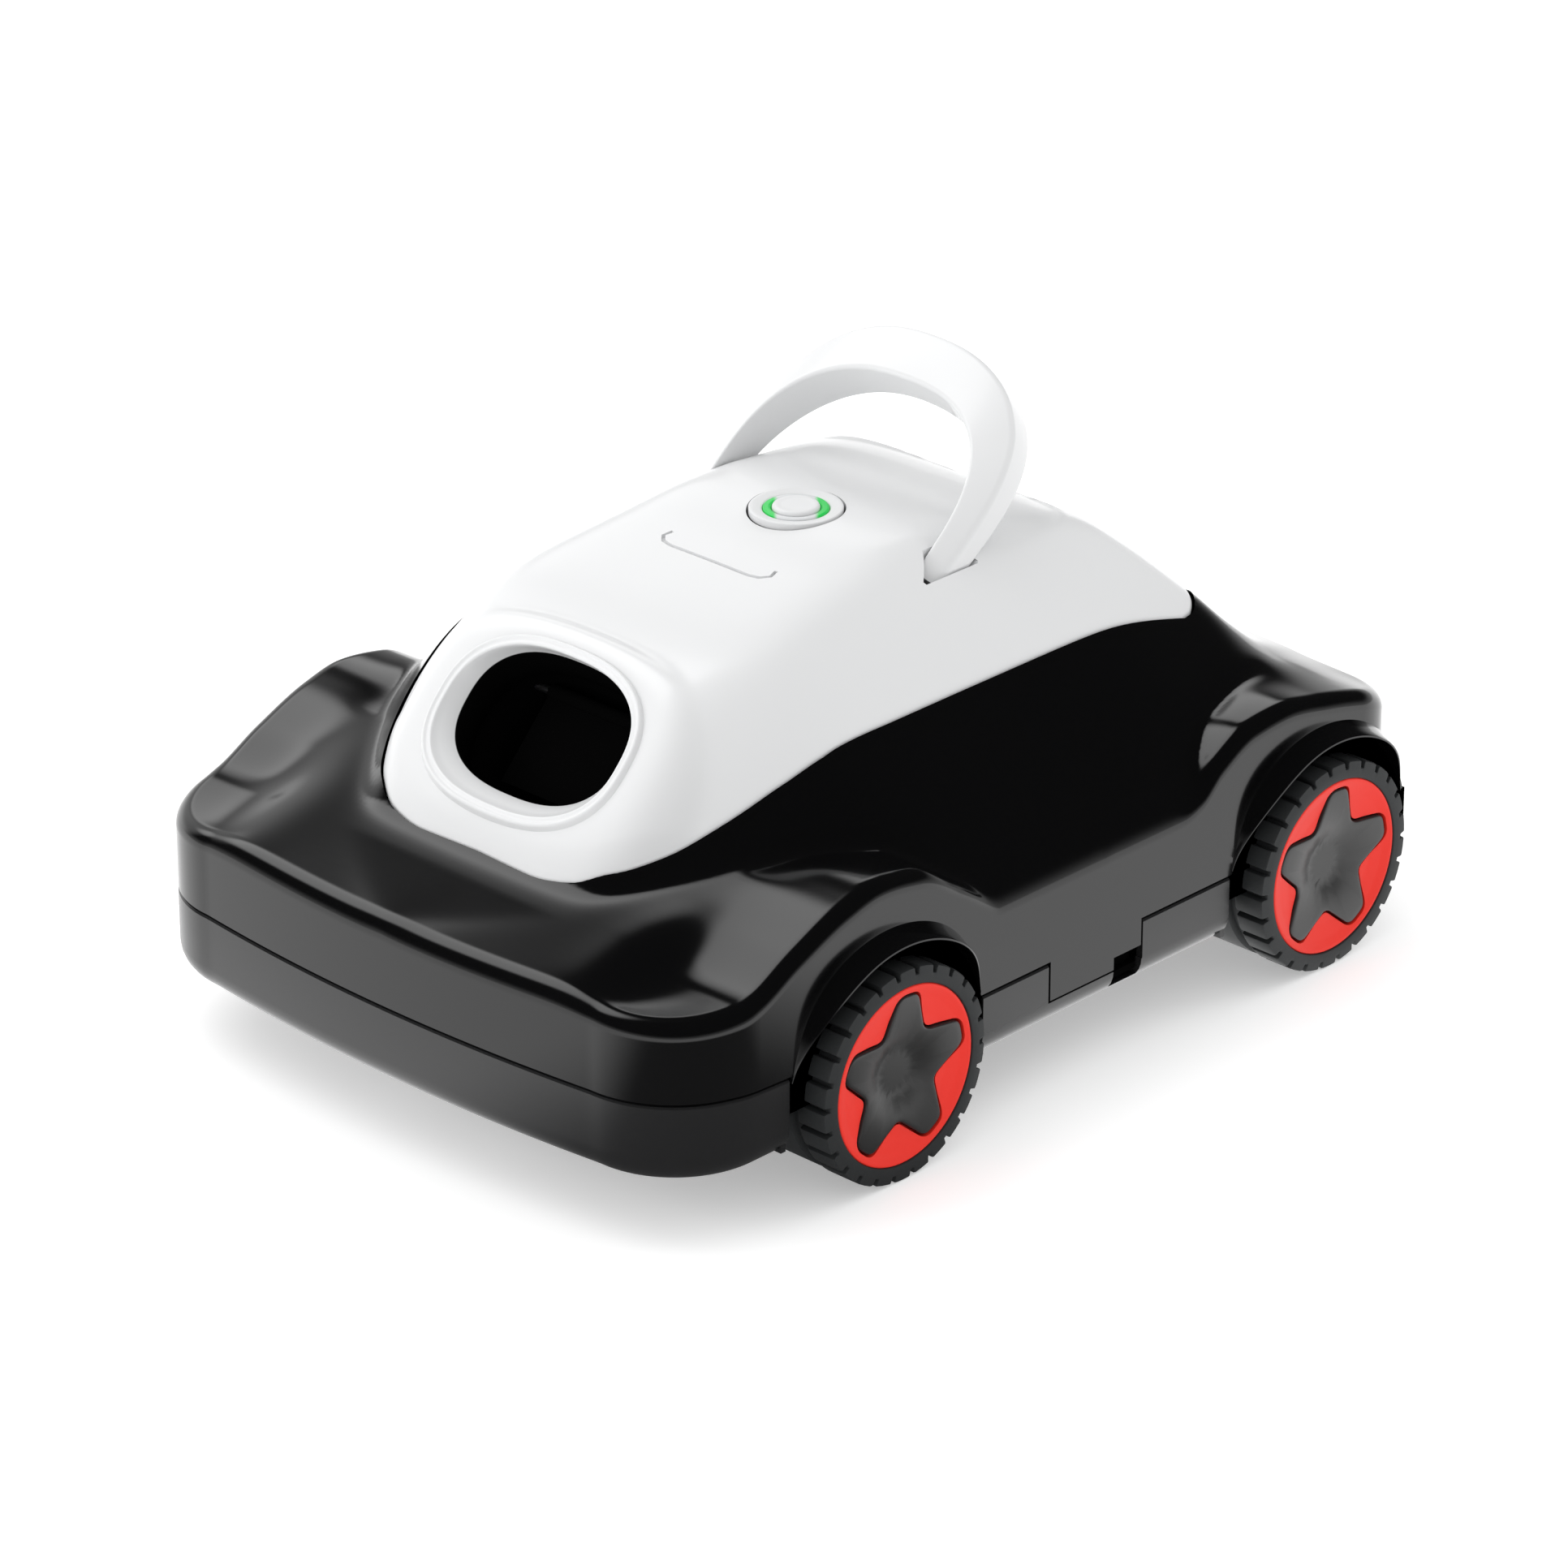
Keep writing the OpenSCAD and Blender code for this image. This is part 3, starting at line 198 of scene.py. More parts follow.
def curve(points, t):
    """Smooth curve through the points, without overshoot, held flat past its ends."""
    at, value = np.array(points, float).T
    step = np.diff(at)
    rate = np.diff(value) / step
    slope = np.concatenate([rate[:1], np.zeros(len(at) - 2), rate[-1:]])
    for i in range(1, len(at) - 1):
        if rate[i - 1] * rate[i] > 0:
            slope[i] = 2 * rate[i - 1] * rate[i] / (rate[i - 1] + rate[i])
    t = np.clip(t, at[0], at[-1])
    i = np.clip(np.searchsorted(at, t, side="right") - 1, 0, len(at) - 2)
    u = (t - at[i]) / step[i]
    return (value[i] * (1 + 2 * u) * (1 - u) ** 2 + step[i] * slope[i] * u * (1 - u) ** 2
            + value[i + 1] * u * u * (3 - 2 * u) + step[i] * slope[i + 1] * u * u * (u - 1))


def step_at(t, middle, width):
    return 1 / (1 + np.exp(-(t - middle) / width))


def past(t, start, width=7):
    """How far t has gone past a start, with a soft beginning."""
    return width * np.logaddexp(0, (t - start) / width)


def body_top(x, y):
    """Height of the body's surface over a point, in millimetres."""
    x = np.abs(x)
    nose = past(-y, 71)
    flank = 187 - 1.15 * (x - 55) - 0.5 * nose - 0.005 * nose ** 2 - 0.27 * past(y, 86, 9) - 0.5 * past(y, 150, 5)
    ridge = curve(RIDGE, y)
    cabin = (ridge + flank - np.sqrt((ridge - flank) ** 2 + 81)) / 2
    shoulder = np.where(y < 26.8, curve(FRONT_SHOULDER, y - FRONT_Y), curve(REAR_SHOULDER, y - REAR_Y))
    inner = np.minimum(91 + 0.25 * (y + 205), 113)
    bow_deck = inner + (shoulder - inner) * step_at(x, 98 + 0.09 * (y + 150), 6.5)
    inner = curve(STERN_DECK, y)
    rear_deck = inner + (shoulder - inner) * step_at(x, 108, 7)
    deck = bow_deck + (rear_deck - bow_deck) * step_at(y, 20, 12)
    return (cabin + deck + np.sqrt((cabin - deck) ** 2 + 9)) / 2


def bow_edge(x, inset=0):
    w, l, r = HALF_W - inset, HALF_L - inset, BOW_R - inset / 2
    x = np.abs(x)
    return np.where(x <= w - r, -l + BOW * (x / (w - r)) ** 2,
                    -l + BOW + r - np.sqrt(np.maximum(0, r * r - (x - w + r) ** 2)))


def stern_edge(x, inset=0):
    w, l, r = HALF_W - inset, HALF_L - inset, STERN_R - inset / 2
    x = np.abs(x)
    return np.where(x <= w - r, l - STERN * (x / (w - r)) ** 2,
                    l - STERN - r + np.sqrt(np.maximum(0, r * r - (x - w + r) ** 2)))


def edge_distance(x, y):
    """Distance inwards from the body's outline, seen from above."""
    x = np.abs(x)
    near = np.minimum(HALF_W - x, np.minimum(y - bow_edge(x), stern_edge(x) - y))
    for r, far, end in ((BOW_R, -y, HALF_L - BOW), (STERN_R, y, HALF_L - STERN)):
        over_x, over_y = x - (HALF_W - r), far - (end - r)
        corner = (over_x > 0) & (over_y > 0)
        near = np.where(corner, r - np.hypot(over_x, over_y), near)
    return np.maximum(near, 0)


def rounded_drop(distance, radius):
    """How far a rounded edge falls below its surface at a distance inwards from the edge."""
    short = np.clip(radius - distance, 0, radius)
    return radius - np.sqrt(radius * radius - short * short)


def read_points(piece):
    points = np.empty(len(piece.data.vertices) * 3)
    piece.data.vertices.foreach_get("co", points)
    return points.reshape(-1, 3)


def write_points(piece, points):
    piece.data.vertices.foreach_set("co", np.asarray(points, float).ravel())
    piece.data.update()


def select_only(piece):
    bpy.ops.object.select_all(action="DESELECT")
    piece.select_set(True)
    bpy.context.view_layer.objects.active = piece


def new_grid(name, columns, rows):
    """A flat grid whose points are then placed: its x and y run from -1 to 1."""
    bpy.ops.object.select_all(action="DESELECT")
    bpy.ops.mesh.primitive_grid_add(x_subdivisions=columns, y_subdivisions=rows, size=2)
    piece = bpy.context.object
    piece.name = piece.data.name = name
    return piece


def loft(name, rings):
    """A sheet through rings of points in millimetres, given as rows of equal length."""
    rings = np.asarray(rings, float)
    piece = new_grid(name, rings.shape[1] - 1, rings.shape[0] - 1)
    write_points(piece, rings.reshape(-1, 3) * MM)
    return piece


def in_edit_mode(piece, *steps):
    select_only(piece)
    bpy.ops.object.mode_set(mode="EDIT")
    for step in steps:
        step()
    bpy.ops.object.mode_set(mode="OBJECT")


def recalculate(piece):
    in_edit_mode(piece, lambda: bpy.ops.mesh.select_all(action="SELECT"),
                 lambda: bpy.ops.mesh.remove_doubles(threshold=0.00001),
                 lambda: bpy.ops.mesh.normals_make_consistent(inside=False))


def close_open_edges(piece):
    recalculate(piece)
    in_edit_mode(piece, lambda: bpy.ops.mesh.select_mode(type="EDGE"),
                 lambda: bpy.ops.mesh.select_all(action="DESELECT"),
                 lambda: bpy.ops.mesh.select_non_manifold(),
                 lambda: bpy.ops.mesh.fill_holes(sides=0),
                 lambda: bpy.ops.mesh.select_mode(type="VERT"),
                 lambda: bpy.ops.mesh.select_all(action="SELECT"),
                 lambda: bpy.ops.mesh.normals_make_consistent(inside=False))


def modify(piece, kind, **settings):
    """Adds a modifier with these settings and applies it."""
    select_only(piece)
    modifier = piece.modifiers.new(kind.lower(), kind)
    for key, value in settings.items():
        setattr(modifier, key, value)
    bpy.ops.object.modifier_apply(modifier=modifier.name)


def prism(name, outline, low, high, axis="Z"):
    """A block with this outline, extruded along an axis from low to high, in millimetres."""
    bpy.ops.object.select_all(action="DESELECT")
    bpy.ops.mesh.primitive_circle_add(vertices=len(outline), fill_type="NGON")
    piece = bpy.context.object
    piece.name = piece.data.name = name
    flat = np.array(outline, float)
    level = np.full(len(flat), float(low))
    columns = {"Z": (flat[:, 0], flat[:, 1], level), "X": (level, flat[:, 0], flat[:, 1]),
               "Y": (flat[:, 0], level, flat[:, 1])}[axis]
    write_points(piece, np.column_stack(columns) * MM)
    rise = [(high - low) * MM if a == axis else 0 for a in "XYZ"]
    in_edit_mode(piece, lambda: bpy.ops.mesh.select_all(action="SELECT"),
                 lambda: bpy.ops.mesh.extrude_region_move(TRANSFORM_OT_translate={"value": rise}))
    recalculate(piece)
    return piece


def box_outline(x, y):
    return [(x[0], y[0]), (x[1], y[0]), (x[1], y[1]), (x[0], y[1])]


def circle_outline(x, y, r, count):
    turn = np.linspace(0, 2 * math.pi, count, endpoint=False)
    return np.column_stack([x + r * np.cos(turn), y + r * np.sin(turn)])


def cut(piece, tool, operation="DIFFERENCE", solver="MANIFOLD"):
    modify(piece, "BOOLEAN", object=tool, operation=operation, solver=solver)
    bpy.data.objects.remove(tool)


def join(piece, *others):
    bpy.ops.object.select_all(action="DESELECT")
    for other in others:
        other.select_set(True)
    piece.select_set(True)
    bpy.context.view_layer.objects.active = piece
    bpy.ops.object.join()


def mirror_copy(piece):
    """The same shape on the body's other side, as a piece of its own."""
    twin = piece.copy()
    twin.data = piece.data.copy()
    bpy.context.collection.objects.link(twin)
    write_points(twin, read_points(twin) * (-1, 1, 1))
    in_edit_mode(twin, lambda: bpy.ops.mesh.select_all(action="SELECT"), bpy.ops.mesh.flip_normals)
    return twin


def smooth(piece, angle=32, weighted=False):
    """Smooth shading with sharp edges kept; weighted lets the large faces lead after a cut."""
    select_only(piece)
    bpy.ops.object.shade_smooth_by_angle(angle=math.radians(angle))
    if weighted:
        modify(piece, "WEIGHTED_NORMAL", keep_sharp=True, weight=60)


def finish_group():
    """Moulded finish: fine grain as a bump, slow patches of gloss, and a faint drift in colour."""
    group = bpy.data.node_groups.new("moulded_finish", "ShaderNodeTree")
    for name, kind, value in (("Colour", "NodeSocketColor", (0.5, 0.5, 0.5, 1)),
                              ("Drift", "NodeSocketFloat", 0.05), ("Grain Scale", "NodeSocketFloat", 900),
                              ("Grain Depth", "NodeSocketFloat", 0.05), ("Shine", "NodeSocketFloat", 0.2),
                              ("Patchiness", "NodeSocketFloat", 0.05)):
        socket = group.interface.new_socket(name=name, in_out="INPUT", socket_type=kind)
        socket.default_value = value
    for name, kind in (("Colour", "NodeSocketColor"), ("Roughness", "NodeSocketFloat"),
                       ("Normal", "NodeSocketVector")):
        group.interface.new_socket(name=name, in_out="OUTPUT", socket_type=kind)
    nodes, link = group.nodes, group.links.new
    source, result = nodes.new("NodeGroupInput"), nodes.new("NodeGroupOutput")
    place = nodes.new("ShaderNodeTexCoord")
    grain, patches = nodes.new("ShaderNodeTexNoise"), nodes.new("ShaderNodeTexNoise")
    grain.inputs["Detail"].default_value = 3
    patches.inputs["Scale"].default_value = 11
    patches.inputs["Detail"].default_value = 4
    for noise in (grain, patches):
        link(place.outputs["Object"], noise.inputs["Vector"])
    link(source.outputs["Grain Scale"], grain.inputs["Scale"])
    bump = nodes.new("ShaderNodeBump")
    bump.inputs["Distance"].default_value = 0.0002
    link(source.outputs["Grain Depth"], bump.inputs["Strength"])
    link(grain.outputs["Fac"], bump.inputs["Height"])
    link(bump.outputs["Normal"], result.inputs["Normal"])
    centred = nodes.new("ShaderNodeMath")
    centred.operation = "SUBTRACT"
    centred.inputs[1].default_value = 0.5
    link(patches.outputs["Fac"], centred.inputs[0])
    rough = nodes.new("ShaderNodeMath")
    rough.operation = "MULTIPLY_ADD"
    link(centred.outputs[0], rough.inputs[0])
    link(source.outputs["Patchiness"], rough.inputs[1])
    link(source.outputs["Shine"], rough.inputs[2])
    link(rough.outputs[0], result.inputs["Roughness"])
    lift = nodes.new("ShaderNodeMath")
    lift.operation = "MULTIPLY_ADD"
    link(centred.outputs[0], lift.inputs[0])
    link(source.outputs["Drift"], lift.inputs[1])
    lift.inputs[2].default_value = 1
    tint = nodes.new("ShaderNodeVectorMath")
    tint.operation = "SCALE"
    link(source.outputs["Colour"], tint.inputs[0])
    link(lift.outputs[0], tint.inputs["Scale"])
    link(tint.outputs[0], result.inputs["Colour"])
    return group


moulded_finish = finish_group()


def moulded(name, colour, shine, grain=900, depth=0.05, patchiness=0.06, drift=0.1, specular=0.5, coat=0.0,
            metallic=0.0):
    """A material with the moulded finish; shine is its roughness."""
    material = bpy.data.materials.new(name)
    nodes, links, shader = nodes_of(material)
    finish = nodes.new("ShaderNodeGroup")
    finish.node_tree = moulded_finish
    finish.inputs["Colour"].default_value = (*colour, 1)
    finish.inputs["Drift"].default_value = drift
    finish.inputs["Grain Scale"].default_value = grain
    finish.inputs["Grain Depth"].default_value = depth
    finish.inputs["Shine"].default_value = shine
    finish.inputs["Patchiness"].default_value = patchiness
    links.new(finish.outputs["Colour"], shader.inputs["Base Color"])
    links.new(finish.outputs["Roughness"], shader.inputs["Roughness"])
    links.new(finish.outputs["Normal"], shader.inputs["Normal"])
    shader.inputs["Specular IOR Level"].default_value = specular
    shader.inputs["Metallic"].default_value = metallic
    shader.inputs["Coat Weight"].default_value = coat
    shader.inputs["Coat Roughness"].default_value = 0.05
    return material


def paint(piece, material):
    piece.data.materials.clear()
    piece.data.materials.append(material)


gloss_black = moulded("gloss_black_abs", (0.0022, 0.0022, 0.0024), 0.12, grain=350, depth=0.015, patchiness=0.05)

PART_LINE = [(-215, 58.5), (-170, 58.5), (-50, 53), (215, 53)]
TAB_Y, TAB_Z, TAB_T = (-4.9, 45), 37, 14
NOTCH_Y, NOTCH_Z, NOTCH_T = (30, 45.6), 42, 10
PORT_AT, PORT_R = (60, 76), 9.3
OUTSIDE = 160
LINER_T = 2.4


def body_point(u, v, half_w=HALF_W, front=bow_edge, rear=stern_edge):
    """Spreads a grid over an outline, closest together along its edges."""
    x = half_w * np.sin(u * math.pi / 2)
    start, end = front(x), rear(x)
    return x, start + (end - start) * (1 + np.sin(v * math.pi / 2)) / 2


def arch_profile(grow, foot, top=TYRE_R):
    around = np.radians(np.linspace(0, 180, 49))
    r = ARCH_R + grow
    return [(r, foot)] + [(r * math.cos(a), top + r * math.sin(a)) for a in around] + [(-r, foot)]


def wheel_well(name, y, foot):
    """The U-shaped liner round a wheel, closed on its inner side."""
    shift = [(a + y, b) for a, b in arch_profile(LINER_T, foot)]
    liner = prism(name, shift, WELL_X - LINER_T, HALF_W - 1, "X")
    cut(liner, prism("space", [(a + y, b) for a, b in arch_profile(0, foot - 5)], WELL_X, HALF_W + 5, "X"))
    return liner


EYEBROW_SECTION = [(6.2, -0.6), (6.0, 0), (4.9, 0.16), (3.6, 0.42), (2.3, 0.74), (1.7, 0.92), (1.2, 0.99),
                   (0.6, 1.0), (0.15, 0.94), (-0.1, 0.8), (-0.1, -0.6), (6.2, -0.6)]


def eyebrow(name, y):
    """The conical flange round an arch: nothing at its feet, full width at the top."""
    around = np.radians(np.linspace(166, 14, 110))
    out = 0.5 - 0.5 * np.cos(math.pi * np.clip((ARCH_R * np.sin(around) - 9) / 38, 0, 1))
    rings = []
    for grow, share in EYEBROW_SECTION:
        r = ARCH_R + grow * (0.15 + 0.85 * out)
        x = HALF_W - 2 + (EYEBROW_OUT * out + 2) * share
        rings.append(np.column_stack([x, y + r * np.cos(around), TYRE_R + r * np.sin(around)]))
    piece = loft(name, rings)
    close_open_edges(piece)
    return piece


shell = new_grid("shell_body", 150, 230)
u, v, _ = read_points(shell).T
x, y = body_point(u, v)
inwards = edge_distance(x, y)
z = body_top(x, y) - rounded_drop(inwards, SHOULDER_R)
write_points(shell, np.column_stack([x, y, z]) * MM)


def extrude_edge_down(piece, level):
    """Pulls the open edge of a sheet straight down to a level."""
    in_edit_mode(piece, lambda: bpy.ops.mesh.select_all(action="SELECT"),
                 bpy.ops.mesh.region_to_loop,
                 lambda: bpy.ops.mesh.extrude_region_move(TRANSFORM_OT_translate={"value": (0, 0, -0.001)}))
    points = read_points(piece)
    moved = np.array([vert.select for vert in piece.data.vertices])
    points[moved, 2] = level * MM
    write_points(piece, points)


extrude_edge_down(shell, 34)
modify(shell, "SOLIDIFY", thickness=3.4 * MM, offset=-1)

COVER_HALF_W = 92
COVER_FRONT = [(0, -158), (28, -158.5), (46, -155.5), (60, -147.5), (72, -133), (81, -115), (87.5, -95),
               (91.5, -72), (92, -40)]
COVER_REAR = [(0, 152), (50, 149), (72, 144), (84, 138), (90, 131), (92, 124)]


def cover_front(x):
    return curve(COVER_FRONT, np.abs(x))


def cover_rear(x):
    return curve(COVER_REAR, np.abs(x))


def cover_outline(shrink=0, count=90):
    x = COVER_HALF_W * np.sin(np.linspace(-1, 1, count) * math.pi / 2)
    k = (COVER_HALF_W - shrink) / COVER_HALF_W
    return ([(a * k, cover_front(a) + shrink) for a in x]
            + [(a * k, cover_rear(a) - shrink) for a in x[::-1]])


cut(shell, prism("cover_space", cover_outline(), 60, 260))
below = [(-230, 20)] + PART_LINE + [(230, 20)]
part_tool = prism("below_part_line", below, -OUTSIDE, OUTSIDE, "X")
for side in (-1, 1):
    x0, x1 = sorted((side * (HALF_W - TAB_T), side * (HALF_W + 5)))
    cut(part_tool, prism("tab", box_outline((x0, x1), TAB_Y), TAB_Z, 60))
cut(shell, part_tool)
for wheel_y in (FRONT_Y, REAR_Y):
    for x0, x1 in ((WELL_X, OUTSIDE), (-OUTSIDE, -WELL_X)):
        cut(shell, prism("arch", [(a + wheel_y, b) for a, b in arch_profile(0, 10)], x0, x1, "X"))
for x in ((HALF_W - NOTCH_T, OUTSIDE), (-OUTSIDE, NOTCH_T - HALF_W)):
    cut(shell, prism("notch", box_outline(x, NOTCH_Y), 20, NOTCH_Z))
cut(shell, prism("port_hole", circle_outline(*PORT_AT, PORT_R, 48), HALF_L - 15, HALF_L + 7, "Y"))
extras = []
for wheel_y in (FRONT_Y, REAR_Y):
    for part in (eyebrow("eyebrow", wheel_y), wheel_well("well", wheel_y, 54)):
        extras += [part, mirror_copy(part)]
join(shell, *extras)
smooth(shell, weighted=True)
paint(shell, gloss_black)
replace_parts(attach(shell, "root"), "upper_shell")

# ---- Top cover ----
# One white ABS moulding over the pump and cells. Its edge is rounded, it dips behind the
# handle, and it has pockets for the handle's feet, a finger groove and the outlet's hole.
COVER_GAP = 0.8
NOSE_Y, NOSE_Z, NOSE_TILT = -129, 141.9, math.radians(46.5)
OUTLET_W, OUTLET_H = 44, 30.5
PANEL_Y, PANEL_R = 9, 18
HANDLE_Y, HANDLE_Z, LEAN = 23.1, 184.7, math.radians(90 - 49.9)
GRIP_W, LEG_T, GRIP_DEPTH = 55.5, 7.7, 17

white_abs = moulded("white_gloss_abs", (0.73, 0.735, 0.74), 0.34, grain=500, depth=0.02, patchiness=0.03,
                    drift=0.02, coat=0.25)


def nose_blend(x, y, z):
    """Carries the skin round the outlet up or down to the plane of its mouth."""
    along = (y - NOSE_Y) / math.cos(NOSE_TILT)
    away = 38 * (((np.abs(x) / OUTLET_W) ** 2.5 + (np.abs(along) / OUTLET_H) ** 2.5) ** 0.4 - 1)
    rim = np.clip((y - cover_front(x)) / 6, 0, 1)
    fade = np.clip((away - 5) / 24, 0, 1)
    share = (1 - fade ** 2 * (3 - 2 * fade)) * rim * (2 - rim)
    return z + share * (NOSE_Z - 0.6 + (y - NOSE_Y) * math.tan(NOSE_TILT) - z)


def cover_top(x, y):
    """The body's surface with the cover's flat nose and its soft dish behind the handle."""
    ax = np.abs(x)
    edge = curve([(30, 62), (60, 64.5), (84, 62), (98, 52), (106, 36), (112, 0)], y)
    across = ax - edge
    inside = step_at(y, 34, 3) * step_at(-across, 0, 1.5) * step_at(-(y - 112), 0, 2.5)
    lip = np.exp(-(across / 3.2) ** 2) * step_at(y, 40, 6) * step_at(-(y - 108), 0, 4)
    return nose_blend(x, y, body_top(x, y)) - 1.1 * inside + 0.7 * lip


def slope_length(edge, x):
    """Length of an edge for each millimetre across the body."""
    across, step = np.linspace(-COVER_HALF_W, COVER_HALF_W, 800, retstep=True)
    return np.interp(x, across, np.hypot(1, np.gradient(edge(across), step)))


cover = new_grid("cover_skin", 130, 210)
u, v, _ = read_points(cover).T
x, y = body_point(u, v, COVER_HALF_W, cover_front, cover_rear)
inwards = np.minimum((y - cover_front(x)) / slope_length(cover_front, x),
                     (cover_rear(x) - y) / slope_length(cover_rear, x))
inwards = np.minimum(COVER_HALF_W - np.abs(x), inwards)
z = cover_top(x, y) - rounded_drop(np.maximum(inwards, 0), 1.3)
x = x * (COVER_HALF_W - COVER_GAP) / COVER_HALF_W
y = y + COVER_GAP * (step_at(-y, 100, 12) - step_at(y, 110, 8))
write_points(cover, np.column_stack([x, y, z]) * MM)
modify(cover, "SOLIDIFY", thickness=4.5 * MM, offset=-1)


def superellipse(a, b, power=2.5, count=120):
    t = np.linspace(0, 2 * math.pi, count, endpoint=False)
    c, s = np.cos(t), np.sin(t)
    return np.column_stack([a * np.sign(c) * np.abs(c) ** (2 / power), b * np.sign(s) * np.abs(s) ** (2 / power)])


def tilted(flat, depth, tilt, y, z):
    """Points of a leaning plane, with their depth behind it, in the body's own frame."""
    flat = np.asarray(flat, float)
    c, s = math.cos(tilt), math.sin(tilt)
    return np.column_stack([flat[:, 0], y + flat[:, 1] * c - depth * s, z + flat[:, 1] * s + depth * c])


def leaning_prism(name, outline, low, high, tilt, y, z):
    piece = prism(name, outline, low, high)
    px, py, pz = (read_points(piece) / MM).T
    write_points(piece, tilted(np.column_stack([px, py]), pz, tilt, y, z) * MM)
    recalculate(piece)
    return piece


cut(cover, leaning_prism("outlet_hole", superellipse(OUTLET_W + 3, OUTLET_H + 3), -30, 30, NOSE_TILT, NOSE_Y, NOSE_Z),
    solver="EXACT")
cut(cover, prism("panel_hole", circle_outline(0, PANEL_Y, PANEL_R + 0.6, 96), 170, 200), solver="EXACT")
for side in (-1, 1):
    outer, inner = GRIP_W + LEG_T + 1, GRIP_W - 1
    leg = [(side * inner, -16), (side * outer, -16), (side * outer, 6), (side * inner, 6)]
    cut(cover, leaning_prism("foot_pocket", leg, -GRIP_DEPTH - 1, 1, LEAN, HANDLE_Y, HANDLE_Z), solver="EXACT")


def groove_outline():
    """A long narrow slot with both ends turned back towards the button."""
    line = [(-26.5, -29), (-27.5, -33), (-24.5, -36), (-20, -37), (20, -37), (24.5, -36), (27.5, -33), (26.5, -29)]
    path = np.array(line, float)
    way = np.gradient(path, axis=0)
    side = np.column_stack([-way[:, 1], way[:, 0]]) / np.hypot(way[:, 0], way[:, 1])[:, None]
    return np.concatenate([path + side * 0.8, (path - side * 0.8)[::-1]])


cut(cover, prism("groove", groove_outline(), 178.8, 190), solver="EXACT")
smooth(cover, weighted=True)
paint(cover, white_abs)
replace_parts(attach(cover, "root"), "top_cover")

# ---- Outlet mouth ----
# The ring that lines the hole in the nose: a low rounded bead, a shallow dish that leads up
# into the opening, and a throat about 22 mm deep. Past 5.9 mm deep its inside is painted black
# with no gloss, as painted shade of the deep throat.
SECTION = [(4.8, -0.6, 0, 0), (4.4, 0.1, 0, 0), (4.1, 0.6, 0.4, 0), (3.7, 1.0, 0.8, 0), (3.2, 1.1, 1, 0),
           (2.8, 0.9, 1, 0), (2.4, 0.5, 1, 0), (1.8, 0.35, 1, 0), (1.2, 0.5, 1, 0), (0.7, 0.6, 1, 0),
           (0.3, 0.4, 1, 0), (0.0, -0.1, 1, 0), (-1.4, -1.8, 1, 1.2), (-2.8, -3.9, 1, 2.4),
           (-4.0, -5.8, 1, 3.4), (-4.4, -6.6, 1, 3.6), (-4.3, -11, 1, 2.4), (-3.6, -16, 1, 1.2),
           (-2.7, -21.8, 1, 0.2), (-2.2, -22.3, 1, 0), (0.6, -22.4, 1, 0)]
# Depth into the nose past which the throat is painted black, as painted shade.
PAINTED_SHADE_DEPTH = 5.9
angle = np.linspace(0, 2 * math.pi, 161)
c, s = np.cos(angle), np.sin(angle)
rings = []
for grow, lift, free, raised in SECTION:
    tall = OUTLET_H + (grow if grow > 0 else 0.75 * grow)
    flat = np.column_stack([(OUTLET_W + grow) * np.sign(c) * np.abs(c) ** 0.8,
                            tall * np.sign(s) * np.abs(s) ** 0.8 + raised])
    on_plane = tilted(flat, lift, NOSE_TILT, NOSE_Y, NOSE_Z)
    base = tilted(flat, 0, NOSE_TILT, NOSE_Y, NOSE_Z)
    on_skin = np.column_stack([base[:, 0], base[:, 1] - 0.6 * lift, cover_top(base[:, 0], base[:, 1]) + 0.8 * lift])
    rings.append(on_skin + (on_plane - on_skin) * free)
mouth = loft("outlet_mouth_ring", rings)
recalculate(mouth)
modify(mouth, "SOLIDIFY", thickness=1.2 * MM, offset=-1)
smooth(mouth, 60)
mouth_paint = moulded("mouth_abs_painted_shade", (0.73, 0.735, 0.74), 0.34, grain=500, depth=0.02, patchiness=0.03, drift=0.02)
nodes, links, shader = nodes_of(mouth_paint)
place = nodes.new("ShaderNodeTexCoord")
depth = nodes.new("ShaderNodeVectorMath")
depth.operation = "DOT_PRODUCT"
depth.inputs[1].default_value = (0, -math.sin(NOSE_TILT), math.cos(NOSE_TILT))
links.new(place.outputs["Object"], depth.inputs[0])
level = (NOSE_Z * math.cos(NOSE_TILT) - NOSE_Y * math.sin(NOSE_TILT)) * MM
# Painted shade: past 5.9 mm deep the mouth turns black and, below, loses its gloss, standing in for the shade deep in
# the throat.
painted_shade_from = level - PAINTED_SHADE_DEPTH * MM
outer = add_ramp(mouth_paint.node_tree, depth.outputs["Value"], painted_shade_from - 0.0003, painted_shade_from, soft=False)
tone = nodes.new("ShaderNodeMix")
tone.data_type = "RGBA"
tone.inputs["A"].default_value = (0.0022, 0.0022, 0.0022, 1)
links.new(nodes["Group"].outputs["Colour"], tone.inputs["B"])
links.new(outer, tone.inputs["Factor"])
links.new(tone.outputs["Result"], shader.inputs["Base Color"])
gloss_outside_painted_shade = nodes.new("ShaderNodeMath")
gloss_outside_painted_shade.operation = "MULTIPLY"
gloss_outside_painted_shade.inputs[1].default_value = 0.5
links.new(outer, gloss_outside_painted_shade.inputs[0])
links.new(gloss_outside_painted_shade.outputs[0], shader.inputs["Specular IOR Level"])
paint(mouth, mouth_paint)
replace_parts(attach(mouth, "root"), "outlet_mouth")

